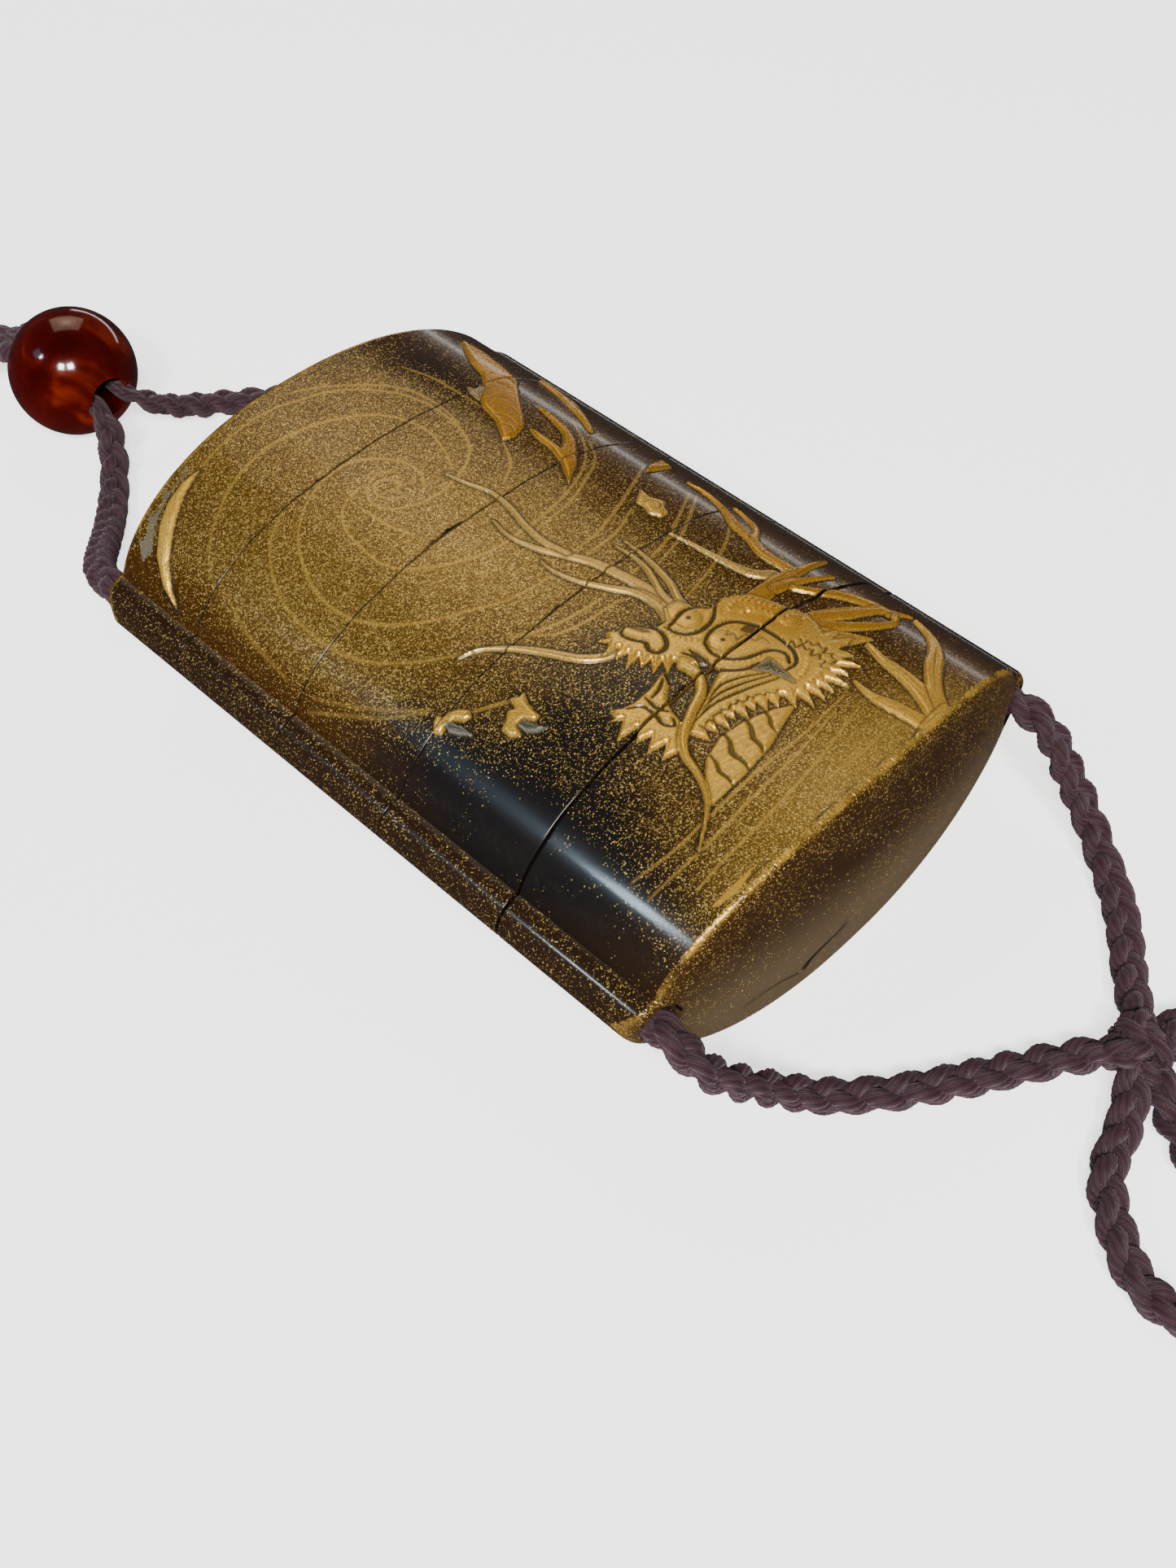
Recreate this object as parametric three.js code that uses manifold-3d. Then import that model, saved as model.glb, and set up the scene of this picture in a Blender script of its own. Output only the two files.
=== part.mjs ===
// A four-case inro: lid, three trays and base on a plaited silk cord, with a bead and a knotted bow.
// Units are millimetres. The case lies on its back: X across, Y from the base to the lid, Z up out of the front.
// The origin is under the middle of the case, on the surface that it lies on.
import * as THREE from 'three';
import { mergeVertices } from 'three/addons/utils/BufferGeometryUtils.js';
import Module from 'manifold-3d';

const wasm = await Module();
wasm.setup();

// The body's section is a rounded lens, |x / halfWidth|^roundness + |z / halfDepth|^2 = 1.
const bodyWidth = 56.6;
const bodyDepth = 27.0;
const roundness = 2.32;
const flatBackWidth = 11;

// A half-round runner for the cord stands out along each side.
const runnerRadius = 2.85;
const runnerInset = 0.35;
const cordChannelRadius = 1.9;
const mouthRadius = 2.25;
const mouthDepth = 2.5;
const mouthInset = 0.5;

// The whole case's length along its runners, and the heights of the cases down to the base, which takes the rest.
const caseLength = 79.6;
const lidHeight = 13.3;
const trayHeights = [16.1, 15.7, 16.55];
const seamGap = 0.3;

// The ends bow outwards from side to side, are domed, and have rounded rims and corners.
const endBow = 2.16;
const endDome = 1.6;
const rimRounding = 0.8;
const cornerRounding = 2.3;

// Walls and fits.
const wall = 1.6;
const channelWall = 1.0;
const endWall = 1.8;
const floorThickness = 1.2;
const riserHeight = 5.0;
const riserThickness = 0.9;
const fitClearance = 0.3;

// Raised lacquer picture on the front.
const reliefHeight = 0.45;
const pictureWidth = 56.6;
const pictureLength = 79.6;

// Cord, bead and knot.
const cordDiameter = 3.2;
const channelSqueeze = 0.15;
const cordSides = 8;
const cordStep = 7.5;
const touchGap = 0.3;
const beadRadius = 8.1;
const beadHoleRadius = 2.6;
const beadCentre = [-5, 82.7];
const strandSpacing = 3.7;
const knotRadius = [4.6, 4.2, 3.4];
const knotCentre = [7.6, -71.0];

const outlineSteps = 20;
const runnerSteps = 8;
const innerSteps = 28;
const capShares = [0.96, 0.88, 0.62, 0.3];

const halfWidth = bodyWidth / 2;
const halfDepth = bodyDepth / 2;
const halfLength = caseLength / 2;
const runnerCentre = halfWidth - runnerInset;
const flatHeight = lensHeight(flatBackWidth / 2, halfWidth, halfDepth);
const centreHeight = flatHeight;
const socketHalfWidth = runnerCentre - cordChannelRadius - channelWall;
const socketHalfDepth = halfDepth - wall;
const riserHalfWidth = socketHalfWidth - fitClearance;
const riserHalfDepth = socketHalfDepth - fitClearance;
const innerHalfWidth = riserHalfWidth - riserThickness;
const innerHalfDepth = riserHalfDepth - riserThickness;
const socketDepth = riserHeight + fitClearance;
const cordRadius = cordDiameter / 2;

// Half the depth of a lens section at x.
function lensHeight(x, lensHalfWidth, lensHalfDepth) {
  const share = Math.min(Math.abs(x) / lensHalfWidth, 1);
  return lensHalfDepth * Math.sqrt(1 - share ** roundness);
}

// A point of a lens section at an angle.
function lensPoint(angle, lensHalfWidth, lensHalfDepth) {
  const across = Math.cos(angle);
  const x = lensHalfWidth * Math.sign(across) * Math.abs(across) ** (2 / roundness);
  return [x, lensHalfDepth * Math.sin(angle)];
}

function lensOutline(lensHalfWidth, lensHalfDepth, steps) {
  return Array.from({ length: steps }, (_, i) => lensPoint((2 * Math.PI * i) / steps, lensHalfWidth, lensHalfDepth));
}

// Where the runner's circle leaves the lens, found by halving.
function grooveX(lensHalfWidth, lensHalfDepth, radius) {
  let low = runnerCentre - radius;
  let high = Math.min(lensHalfWidth, runnerCentre + radius);
  for (let i = 0; i < 40; i += 1) {
    const middle = (low + high) / 2;
    const circle = Math.sqrt(Math.max(radius ** 2 - (middle - runnerCentre) ** 2, 0));
    if (lensHeight(middle, lensHalfWidth, lensHalfDepth) > circle) low = middle;
    else high = middle;
  }
  return low;
}

// The section of the whole case, lens and runners, standing proud of the real one by extra.
function caseOutline(extra = 0) {
  const wide = halfWidth + extra;
  const deep = halfDepth + extra;
  const radius = runnerRadius + extra;
  const groove = grooveX(wide, deep, radius);
  const grooveAngle = Math.acos((groove / wide) ** (roundness / 2));
  const runnerAngle = Math.atan2(lensHeight(groove, wide, deep), groove - runnerCentre);
  const flatAngle = Math.asin((flatHeight + extra) / deep);
  const points = [];
  for (let i = 0; i <= runnerSteps; i += 1) {
    const angle = -runnerAngle + (2 * runnerAngle * i) / runnerSteps;
    points.push([runnerCentre + radius * Math.cos(angle), radius * Math.sin(angle)]);
  }
  for (let i = 1; i < outlineSteps; i += 1) {
    points.push(lensPoint(grooveAngle + ((Math.PI - 2 * grooveAngle) * i) / outlineSteps, wide, deep));
  }
  for (let i = 0; i <= runnerSteps; i += 1) {
    const angle = Math.PI - runnerAngle + (2 * runnerAngle * i) / runnerSteps;
    points.push([-runnerCentre + radius * Math.cos(angle), radius * Math.sin(angle)]);
  }
  const shoulderSteps = outlineSteps / 2;
  for (let i = 1; i <= shoulderSteps; i += 1) {
    points.push(lensPoint(Math.PI + grooveAngle + ((flatAngle - grooveAngle) * i) / shoulderSteps, wide, deep));
  }
  for (let i = 0; i < shoulderSteps; i += 1) {
    points.push(lensPoint(2 * Math.PI - flatAngle + ((flatAngle - grooveAngle) * i) / shoulderSteps, wide, deep));
  }
  return points;
}

// How far the end of the case reaches in Y at a point of its section, with a share of 1 at the rim.
function endReach(x, z, share) {
  const across = Math.min(Math.abs(x) / runnerCentre, 1);
  const lens = Math.min((Math.abs(x) / halfWidth) ** roundness + (z / halfDepth) ** 2, 1);
  const corner = Math.max(Math.abs(x) - (runnerCentre + runnerRadius - cornerRounding), 0);
  const cornerDrop = cornerRounding - Math.sqrt(cornerRounding ** 2 - Math.min(corner, cornerRounding) ** 2);
  const inFromRim = (1 - share) * halfDepth;
  const rimDrop = Math.max(rimRounding - inFromRim, 0) ** 2 / rimRounding;
  return halfLength + endBow * (1 - across ** 2) + endDome * (1 - lens) - cornerDrop - rimDrop;
}

// A closed surface through rings of [x, y, z] points with as many points each, closed by a fan at both ends.
function closedRings(rings) {
  const count = rings[0].length;
  const positions = rings.flat(2);
  const centreOf = (ring) => [0, 1, 2].map((k) => ring.reduce((sum, p) => sum + p[k], 0) / count);
  const first = rings.length * count;
  positions.push(...centreOf(rings[0]), ...centreOf(rings.at(-1)));
  const faces = [];
  for (let r = 0; r + 1 < rings.length; r += 1) {
    for (let i = 0; i < count; i += 1) {
      const a = r * count + i;
      const b = r * count + ((i + 1) % count);
      faces.push(a, b, b + count, a, b + count, a + count);
    }
  }
  const last = (rings.length - 1) * count;
  for (let i = 0; i < count; i += 1) {
    const j = (i + 1) % count;
    faces.push(first, j, i, first + 1, last + i, last + j);
  }
  const geometry = new THREE.BufferGeometry();
  geometry.setAttribute('position', new THREE.Float32BufferAttribute(positions, 3));
  geometry.setIndex(faces);
  return geometry;
}

// A manifold solid from a closed geometry.
function solid(geometry) {
  const bare = geometry.clone();
  bare.deleteAttribute('normal');
  bare.deleteAttribute('uv');
  const merged = mergeVertices(bare, 1e-5);
  const index = merged.index.array;
  const kept = [];
  for (let i = 0; i < index.length; i += 3) {
    const [a, b, c] = index.slice(i, i + 3);
    if (a !== b && b !== c && c !== a) kept.push(a, b, c);
  }
  return new wasm.Manifold(
    new wasm.Mesh({
      numProp: 3,
      vertProperties: new Float32Array(merged.attributes.position.array),
      triVerts: new Uint32Array(kept),
    }),
  );
}

function geometryOf(manifold) {
  const mesh = manifold.getMesh();
  const geometry = new THREE.BufferGeometry();
  geometry.setAttribute('position', new THREE.BufferAttribute(new Float32Array(mesh.vertProperties), 3));
  geometry.setIndex(new THREE.BufferAttribute(new Uint32Array(mesh.triVerts), 1));
  return geometry;
}

// A straight length of a lens or case section along Y.
function prism(outline, low, high) {
  const ring = (y) => outline.map(([x, z]) => [x, y, z]);
  return solid(closedRings([ring(high), ring(low)]));
}

// The section with both shaped ends, standing proud by extra. In the model the rings run from lid to base.
function shapedBody(outline, extra = 0) {
  const endRing = (share, side) => outline.map(([x, z]) => {
    const reach = endReach(x * share, z * share, share) + extra;
    return [x * share, side * reach, z * share];
  });
  const rings = [];
  for (const share of [...capShares].reverse()) rings.push(endRing(share, 1));
  rings.push(endRing(1, 1), endRing(1, -1));
  for (const share of capShares) rings.push(endRing(share, -1));
  return solid(closedRings(rings));
}

// A cavity of lens section from y = open to the shaped end on that side, less the end's wall.
function endCavity(lensHalfWidth, lensHalfDepth, open, side) {
  const outline = lensOutline(lensHalfWidth, lensHalfDepth, innerSteps);
  const endRing = (share) => outline.map(([x, z]) => {
    const reach = endReach(x * share, z * share, 0.5) - endWall;
    return [x * share, side * reach, z * share];
  });
  const openRing = outline.map(([x, z]) => [x, open, z]);
  const rings = [openRing, endRing(1), endRing(0.7), endRing(0.35)];
  return solid(closedRings(side > 0 ? rings.reverse() : rings));
}

function cylinderAlongY(radius, x, low, high, sides = 16) {
  const geometry = new THREE.CylinderGeometry(radius, radius, high - low, sides);
  geometry.translate(x, (low + high) / 2, 0);
  return solid(geometry);
}

// The picture: a dragon in raised lacquer. Its points are [across, along] in millimetres from the middle of the
// front, as drawn on a front of pictureWidth by pictureLength, and follow the case when its size changes.
const acrossScale = bodyWidth / pictureWidth;
const alongScale = caseLength / pictureLength;

// A brush stroke through points, with its widths at the start, the middle and the end.
function stroke(points, [startWidth, middleWidth, endWidth], steps = 3 * points.length) {
  const curve = new THREE.CatmullRomCurve3(points.map(([x, y]) => new THREE.Vector3(x, y, 0)));
  const left = [];
  const right = [];
  for (let i = 0; i <= steps; i += 1) {
    const t = i / steps;
    const width = t < 0.5
      ? startWidth + (middleWidth - startWidth) * 2 * t
      : middleWidth + (endWidth - middleWidth) * (2 * t - 1);
    const at = curve.getPoint(t);
    const along = curve.getTangent(t);
    left.push([at.x - (along.y * width) / 2, at.y + (along.x * width) / 2]);
    right.unshift([at.x + (along.y * width) / 2, at.y - (along.x * width) / 2]);
  }
  return [...left, ...right];
}

// The points of a row of teeth along a line of points, each tooth leaning out to the line's right.
function teeth(points, count, height) {
  const curve = new THREE.CatmullRomCurve3(points.map(([x, y]) => new THREE.Vector3(x, y, 0)));
  const row = [];
  for (let i = 0; i < count; i += 1) {
    const root = curve.getPoint(i / count);
    const tip = curve.getPoint((i + 0.5) / count);
    const along = curve.getTangent((i + 0.5) / count);
    row.push([root.x, root.y], [tip.x + along.y * height, tip.y - along.x * height]);
  }
  return [...row, points.at(-1)];
}

// A clawed foot: a round palm with three curved talons, pointing along its turn.
function clawedFoot(x, y, size, turn) {
  const place = ([across, along]) => {
    const cos = Math.cos(turn);
    const sin = Math.sin(turn);
    return [x + size * (across * cos - along * sin), y + size * (across * sin + along * cos)];
  };
  const palm = Array.from({ length: 8 }, (_, i) => {
    const angle = (2 * Math.PI * i) / 8;
    return place([0.55 * Math.cos(angle), 0.7 * Math.sin(angle)]);
  });
  const talons = [-1, 0, 1].map((side) => {
    const path = [[0.3 * side, -0.2], [0.62 * side, -0.85], [0.5 * side + 0.3, -1.45]].map(place);
    return stroke(path, [0.4 * size, 0.34 * size, 0.1 * size], 4);
  });
  return [palm, ...talons];
}

const headOutline = [
  [-6.2, -11.4], [-3.2, -12.0], [-1.5, -13.4], [1.6, -14.3], [3.6, -14.9],
  [5.9, -15.9], [7.9, -16.8], [9.7, -18.2], [10.9, -20.0],
  ...teeth([[11.6, -22.3], [10.6, -27.2], [7.0, -30.2], [1.4, -30.4]], 8, -2.3),
  ...teeth([[1.0, -30.0], [-4.3, -27.5], [-9.4, -27.2]], 6, -1.2),
  [-7.6, -26.0], [-5.0, -24.3], [-2.4, -22.3],
  ...teeth([[-3.2, -20.6], [-5.6, -17.8], [-6.7, -12.8]], 6, -1.0),
];
const jawOutline = [
  [-10.2, -17.7], [-9.4, -19.3], [-4.8, -19.4], [-6.7, -22.0], [-7.3, -24.0], [-9.0, -25.0],
  [-11.5, -27.3], ...teeth([[-11.7, -25.0], [-12.5, -22.0], [-12.0, -18.2]], 4, -1.1),
];
const neckOutline = [
  [-13.2, -32.6], [-11.6, -30.4], [-8.3, -28.9], [-5.6, -28.8], [-2.3, -30.0], [0.9, -31.3],
  [-1.5, -32.3], [-5.3, -32.6],
];
const tailOutline = [
  [8.8, 17.6], [11.6, 22.3], [14.5, 26.7], [17.2, 31.8], [18.7, 36.6], [21.2, 34.4],
  [21.6, 30.0], [20.0, 25.8], [15.2, 20.4],
];
const cloudOutline = [[11.6, 0.6], [14.2, 1.0], [15.0, -1.2], [13.6, -2.8], [11.8, -1.8]];
const strokes = [
  // Long whiskers and feelers of the snout.
  [[[1.6, -14.6], [3.6, -10.1], [2.2, -4.2], [0.4, 1.0], [0.1, 9.0], [0.1, 16.0]], [1.5, 1.0, 0.3]],
  [[[0.6, -14.2], [1.0, -9.3], [-1.2, -5.0], [-2.2, -0.8], [-1.6, 8.6]], [1.2, 0.8, 0.3]],
  [[[-6.0, -12.8], [-9.1, -11.4], [-10.4, -8.4], [-11.8, -5.8], [-16.0, -1.6]], [1.3, 0.9, 0.3]],
  [[[1.6, -14.4], [4.1, -8.6], [4.6, -3.7]], [0.9, 0.6, 0.25]],
  [[[3.4, -14.8], [6.0, -8.6], [6.4, -3.8]], [0.9, 0.6, 0.25]],
  [[[-3.2, -22.4], [-8.2, -24.8], [-11.2, -27.3], [-12.4, -30.1], [-17.0, -34.5]], [1.6, 1.0, 0.25]],
  // Horns and the locks behind the head.
  [[[8.2, -18.2], [11.7, -17.7], [16.5, -17.0], [20.6, -17.4]], [2.4, 2.0, 0.7]],
  [[[9.2, -20.2], [14.1, -19.6], [20.0, -21.2]], [2.0, 1.5, 0.5]],
  [[[13.2, -17.8], [11.7, -13.6], [11.1, -9.5], [10.4, -5.7]], [1.4, 0.9, 0.3]],
  [[[9.8, -22.4], [16.7, -25.2], [21.2, -28.8], [20.4, -32.6], [15.6, -36.6], [11.4, -40.2]], [2.2, 2.4, 2.8]],
  [[[10.0, -25.0], [13.2, -27.6], [14.8, -30.6]], [2.2, 1.4, 0.3]],
  [[[10.8, -40.4], [12.0, -37.2], [12.0, -33.9], [12.8, -31.0]], [2.4, 1.5, 0.3]],
  [[[8.4, -40.6], [8.0, -38.1], [7.0, -35.6], [7.3, -32.6]], [2.0, 1.3, 0.3]],
  // Flames along the far side.
  [[[16.4, -17.2], [18.0, -12.5], [20.4, -8.4], [20.9, -4.6]], [2.2, 1.6, 0.5]],
  [[[9.0, 6.6], [11.6, 10.4], [11.5, 15.2]], [1.4, 2.4, 0.3]],
  [[[10.4, 8.2], [14.8, 11.0], [18.2, 14.8], [21.3, 20.5]], [2.2, 2.0, 0.4]],
  // The curl of the body on the lid.
  [[[-17.6, 37.2], [-21.6, 36.4], [-24.9, 34.2], [-26.6, 30.8]], [0.4, 2.4, 0.4]],
];
const pictureOutlines = [
  headOutline, jawOutline, neckOutline, tailOutline, cloudOutline,
  ...strokes.map(([points, widths]) => stroke(points, widths)),
  ...clawedFoot(-20.6, -5.2, 1.7, -0.5), ...clawedFoot(-16.8, -10.2, 2.0, -0.4),
];

// The picture's outlines as one solid that stands up through the front, cut to the raised surface.
function raisedPicture(raisedCase) {
  const columns = pictureOutlines.map((outline) => {
    const shape = new THREE.Shape(outline.map(([x, y]) => new THREE.Vector2(x * acrossScale, y * alongScale)));
    return solid(new THREE.ExtrudeGeometry(shape, { depth: halfDepth + 2, bevelEnabled: false }));
  });
  return wasm.Manifold.union(columns).intersect(raisedCase);
}

// Seams between the cases, from the lid down.
const seams = [halfLength - lidHeight];
for (const height of trayHeights) seams.push(seams.at(-1) - height);

const dressedCase = shapedBody(caseOutline()).add(raisedPicture(shapedBody(caseOutline(reliefHeight))));

function slab(low, high) {
  const geometry = new THREE.BoxGeometry(3 * bodyWidth, high - low, 3 * bodyDepth);
  geometry.translate(0, (low + high) / 2, 0);
  return solid(geometry);
}

// The cord's channels, with a wider mouth at each end of the case.
function channels() {
  const far = halfLength + endBow + endDome + 1;
  return wasm.Manifold.union([-1, 1].flatMap((side) => {
    const x = side * runnerCentre;
    const mouthX = side * (runnerCentre - mouthInset);
    return [
      cylinderAlongY(cordChannelRadius, x, -far, far),
      cylinderAlongY(mouthRadius, mouthX, halfLength - mouthDepth, far),
      cylinderAlongY(mouthRadius, mouthX, -far, mouthDepth - halfLength),
    ];
  }));
}

const cordChannels = channels();
const socketOutline = lensOutline(socketHalfWidth, socketHalfDepth, innerSteps);
const riserOutline = lensOutline(riserHalfWidth, riserHalfDepth, innerSteps);
const innerOutline = lensOutline(innerHalfWidth, innerHalfDepth, innerSteps);

// The riser of the case below a seam, which stands up inside the case above it.
const riser = (seam) => prism(riserOutline, seam - wall, seam + riserHeight);

function lidSolid() {
  const seam = seams[0];
  return dressedCase
    .intersect(slab(seam + seamGap / 2, 2 * halfLength))
    .subtract(endCavity(socketHalfWidth, socketHalfDepth, seam - 1, 1))
    .subtract(cordChannels);
}

function traySolid(i) {
  const top = seams[i];
  const bottom = seams[i + 1];
  const floorTop = bottom + socketDepth + floorThickness;
  return dressedCase
    .intersect(slab(bottom + seamGap / 2, top - seamGap / 2))
    .add(riser(top))
    .subtract(prism(socketOutline, bottom - 1, bottom + socketDepth))
    .subtract(prism(innerOutline, floorTop, top + riserHeight + 1))
    .subtract(cordChannels);
}

function baseSolid() {
  const seam = seams.at(-1);
  return dressedCase
    .intersect(slab(-2 * halfLength, seam - seamGap / 2))
    .add(riser(seam))
    .subtract(endCavity(innerHalfWidth, innerHalfDepth, seam + riserHeight + 1, -1))
    .subtract(cordChannels);
}

// A round tube along a curve.
function tube(curve, steps, radius = cordRadius) {
  const section = new THREE.Shape(Array.from({ length: cordSides }, (_, i) => {
    const angle = (2 * Math.PI * i) / cordSides;
    return new THREE.Vector2(radius * Math.cos(angle), radius * Math.sin(angle));
  }));
  return solid(new THREE.ExtrudeGeometry(section, { extrudePath: curve, steps, bevelEnabled: false }));
}

function freeTube(points) {
  const curve = new THREE.CatmullRomCurve3(points.map((point) => new THREE.Vector3(...point)), false, 'centripetal');
  return tube(curve, Math.round(curve.getLength() / cordStep));
}

// The bead's bore runs along Y. One facet of it faces down, as a small flat spot.
const beadSides = 20;
const beadHeight = beadRadius * Math.cos(Math.PI / beadSides);
const knotHeight = knotRadius[2];

function beadGeometry() {
  const holeAngle = Math.asin(beadHoleRadius / beadRadius);
  const profileSteps = 10;
  const profile = Array.from({ length: profileSteps + 1 }, (_, i) => {
    const angle = holeAngle + ((Math.PI - 2 * holeAngle) * i) / profileSteps;
    return new THREE.Vector2(beadRadius * Math.sin(angle), -beadRadius * Math.cos(angle));
  });
  const geometry = new THREE.LatheGeometry([...profile, profile[0]], beadSides);
  return geometry.rotateY(Math.PI / beadSides);
}

function knotGeometry(extra = 0) {
  const geometry = new THREE.SphereGeometry(1, 14, 10);
  return geometry.scale(...knotRadius.map((radius) => radius + extra));
}

// What the cord stops short of: the bead and the knot, each with the gap that touching pieces keep.
const beadSpace = solid(new THREE.SphereGeometry(beadRadius + touchGap, beadSides, 16))
  .translate([...beadCentre, beadHeight]);
const knotSpace = solid(knotGeometry(touchGap)).translate([...knotCentre, knotHeight]);

// The cord's free stretches, as points in the order that the cord runs, and the channel between them.
const strandAtBead = (side, along) => [
  beadCentre[0] + (side * strandSpacing) / 2, beadCentre[1] + along, beadHeight,
];
const mouthPoint = (side, end) => [side * runnerCentre, end * (halfLength - 0.5), centreHeight];
const leadPoint = (side, end) => [side * runnerCentre, end * (halfLength + 2), centreHeight - 0.1];
const inBead = beadRadius / 2;
const strandLead = beadRadius + 1.0;

const nearLower = [
  mouthPoint(-1, -1), leadPoint(-1, -1), [-27.6, -44.2, 11.9], [-26.2, -46.0, 9.6], [-23.6, -47.6, 6.8],
  [-20.6, -49.4, 4.2], [-17.6, -51.8, 2.4], [-14.7, -54.2, 1.7], [-11.6, -56.8, 1.7], [-8.2, -59.2, 1.7],
  [-4.5, -61.6, 1.7], [-0.4, -64.2, 1.8], [3.2, -67.0, 2.4], [6.4, -70.0, 3.2],
];
const nearUpper = [
  mouthPoint(-1, 1), leadPoint(-1, 1), [-27.0, 45.4, 12.2], [-24.2, 50.2, 9.4], [-20.6, 55.2, 6.2],
  [-16.9, 60.2, 3.5], [-13.6, 64.4, 2.2], [-10.8, 67.8, 2.3], [-8.6, 70.6, 3.9], [-7.3, 73.0, 6.4],
  strandAtBead(-1, 1.6 - beadRadius), strandAtBead(-1, -inBead),
];
const farLower = [
  mouthPoint(1, -1), leadPoint(1, -1), [28.1, -44.4, 12.0], [28.3, -46.6, 9.4], [28.4, -48.9, 6.6],
  [27.9, -51.6, 4.0], [26.6, -54.4, 2.2], [24.4, -57.4, 1.7], [21.6, -60.4, 1.7], [18.6, -63.0, 1.7],
  [15.2, -65.6, 1.9], [12.2, -68.0, 2.5], [8.8, -70.6, 3.4],
];
const farUpper = [
  mouthPoint(1, 1), leadPoint(1, 1), [27.4, 45.6, 12.0], [26.0, 50.0, 8.8], [23.8, 54.6, 5.6],
  [21.0, 59.0, 3.0], [17.8, 63.2, 1.9], [14.4, 66.8, 1.7], [10.6, 69.6, 1.7], [6.6, 71.4, 2.4],
  [2.8, 72.2, 4.0], [-0.4, 73.0, 6.0], strandAtBead(1, 1.6 - beadRadius), strandAtBead(1, -inBead),
];
const bight = [
  strandAtBead(-1, inBead), strandAtBead(-1, strandLead), [-7.8, 95.8, 6.0], [-9.4, 99.6, 3.2],
  [-11.8, 104.2, 1.8], [-14.6, 110.0, 1.7], [-17.6, 116.6, 1.7], [-19.9, 123.4, 1.7],
  [-19.4, 130.2, 1.7], [-14.2, 134.0, 1.7], [-8.6, 131.4, 1.7], [-6.6, 125.0, 1.7],
  [-6.0, 117.6, 1.7], [-5.2, 110.4, 1.7], [-4.2, 104.2, 1.8], [-3.4, 99.6, 3.2], [-3.1, 95.8, 6.0],
  strandAtBead(1, strandLead), strandAtBead(1, inBead),
];
const bows = [
  [
    [6.2, -71.6, 3.2], [2.8, -73.6, 2.4], [-0.8, -75.0, 1.7], [-4.9, -76.2, 1.7], [-8.6, -79.4, 1.7],
    [-11.8, -84.0, 1.7], [-11.9, -89.4, 1.7], [-6.9, -91.6, 1.7], [-2.2, -88.0, 1.7], [1.2, -82.4, 1.7],
    [4.2, -77.4, 2.0], [7.0, -73.0, 3.0],
  ],
  [
    [9.6, -72.4, 3.2], [12.6, -76.4, 2.0], [16.0, -80.8, 1.7], [20.2, -84.6, 1.7], [25.4, -85.0, 1.7],
    [27.8, -80.4, 1.7], [24.4, -76.4, 1.7], [19.0, -74.4, 1.7], [14.6, -72.9, 2.2], [10.4, -71.4, 3.2],
  ],
];

// The cord is pressed a little thinner inside its channel.
function cordThroughCase(side, lower, upper) {
  const channel = new THREE.LineCurve3(
    new THREE.Vector3(side * runnerCentre, -halfLength, centreHeight),
    new THREE.Vector3(side * runnerCentre, halfLength, centreHeight),
  );
  const squeezed = tube(channel, 1, cordRadius - channelSqueeze);
  return squeezed.add(freeTube(lower)).add(freeTube(upper)).subtract(beadSpace).subtract(knotSpace);
}

const lacquer = () => new THREE.MeshStandardMaterial({ color: 0x4a3a1c, roughness: 0.28, metalness: 0.35 });
const carnelian = () => new THREE.MeshStandardMaterial({ color: 0x7a1208, roughness: 0.12, metalness: 0 });
const silk = () => new THREE.MeshStandardMaterial({ color: 0x4b2e36, roughness: 0.8, metalness: 0 });

const inro = new THREE.Group();

function place(name, geometry, material, position = [0, 0, 0]) {
  const mesh = new THREE.Mesh(geometry, material);
  mesh.name = name;
  mesh.position.set(...position);
  inro.add(mesh);
}

place('lid', geometryOf(lidSolid()), lacquer(), [0, 0, centreHeight]);
for (let i = 0; i < trayHeights.length; i += 1) {
  place(`tray_${i + 1}`, geometryOf(traySolid(i)), lacquer(), [0, 0, centreHeight]);
}
place('base', geometryOf(baseSolid()), lacquer(), [0, 0, centreHeight]);
place('ojime_bead', beadGeometry(), carnelian(), [...beadCentre, beadHeight]);
place('cord_near', geometryOf(cordThroughCase(-1, nearLower, nearUpper)), silk());
place('cord_far', geometryOf(cordThroughCase(1, farLower, farUpper)), silk());
place('cord_bight', geometryOf(freeTube(bight).subtract(beadSpace)), silk());
place('cord_knot', knotGeometry(), silk(), [...knotCentre, knotHeight]);
bows.forEach((points, i) => {
  place(`cord_bow_${i + 1}`, geometryOf(freeTube(points).subtract(knotSpace)), silk());
});

export default inro;
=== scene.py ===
import math

import bmesh
import bpy
import numpy as np
from mathutils import Matrix, Vector
from mathutils.geometry import delaunay_2d_cdt, tessellate_polygon


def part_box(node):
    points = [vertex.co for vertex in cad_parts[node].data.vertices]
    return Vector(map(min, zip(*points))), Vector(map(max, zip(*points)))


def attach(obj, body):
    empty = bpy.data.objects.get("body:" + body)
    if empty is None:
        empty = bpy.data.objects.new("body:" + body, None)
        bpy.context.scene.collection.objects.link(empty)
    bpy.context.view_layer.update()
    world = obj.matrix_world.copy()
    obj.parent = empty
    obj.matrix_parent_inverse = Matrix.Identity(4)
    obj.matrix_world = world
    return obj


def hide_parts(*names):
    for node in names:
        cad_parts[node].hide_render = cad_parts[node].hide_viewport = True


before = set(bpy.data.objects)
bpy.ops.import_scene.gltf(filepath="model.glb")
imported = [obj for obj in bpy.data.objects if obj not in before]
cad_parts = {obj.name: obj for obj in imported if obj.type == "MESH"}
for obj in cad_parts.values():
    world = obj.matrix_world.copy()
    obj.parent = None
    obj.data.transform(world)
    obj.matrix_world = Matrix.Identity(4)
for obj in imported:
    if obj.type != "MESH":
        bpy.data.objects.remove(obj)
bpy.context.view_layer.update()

# The shapes below are worked out in millimetres in the part's own frame, and become metres in their meshes.
MM = 0.001


# The camera
CAMERA_PLACE = (-96.82, -95.10, 152.78)
CAMERA_TURN = (39.845, -0.705, -46.118)
CAMERA_LENS = 41.34


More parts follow.
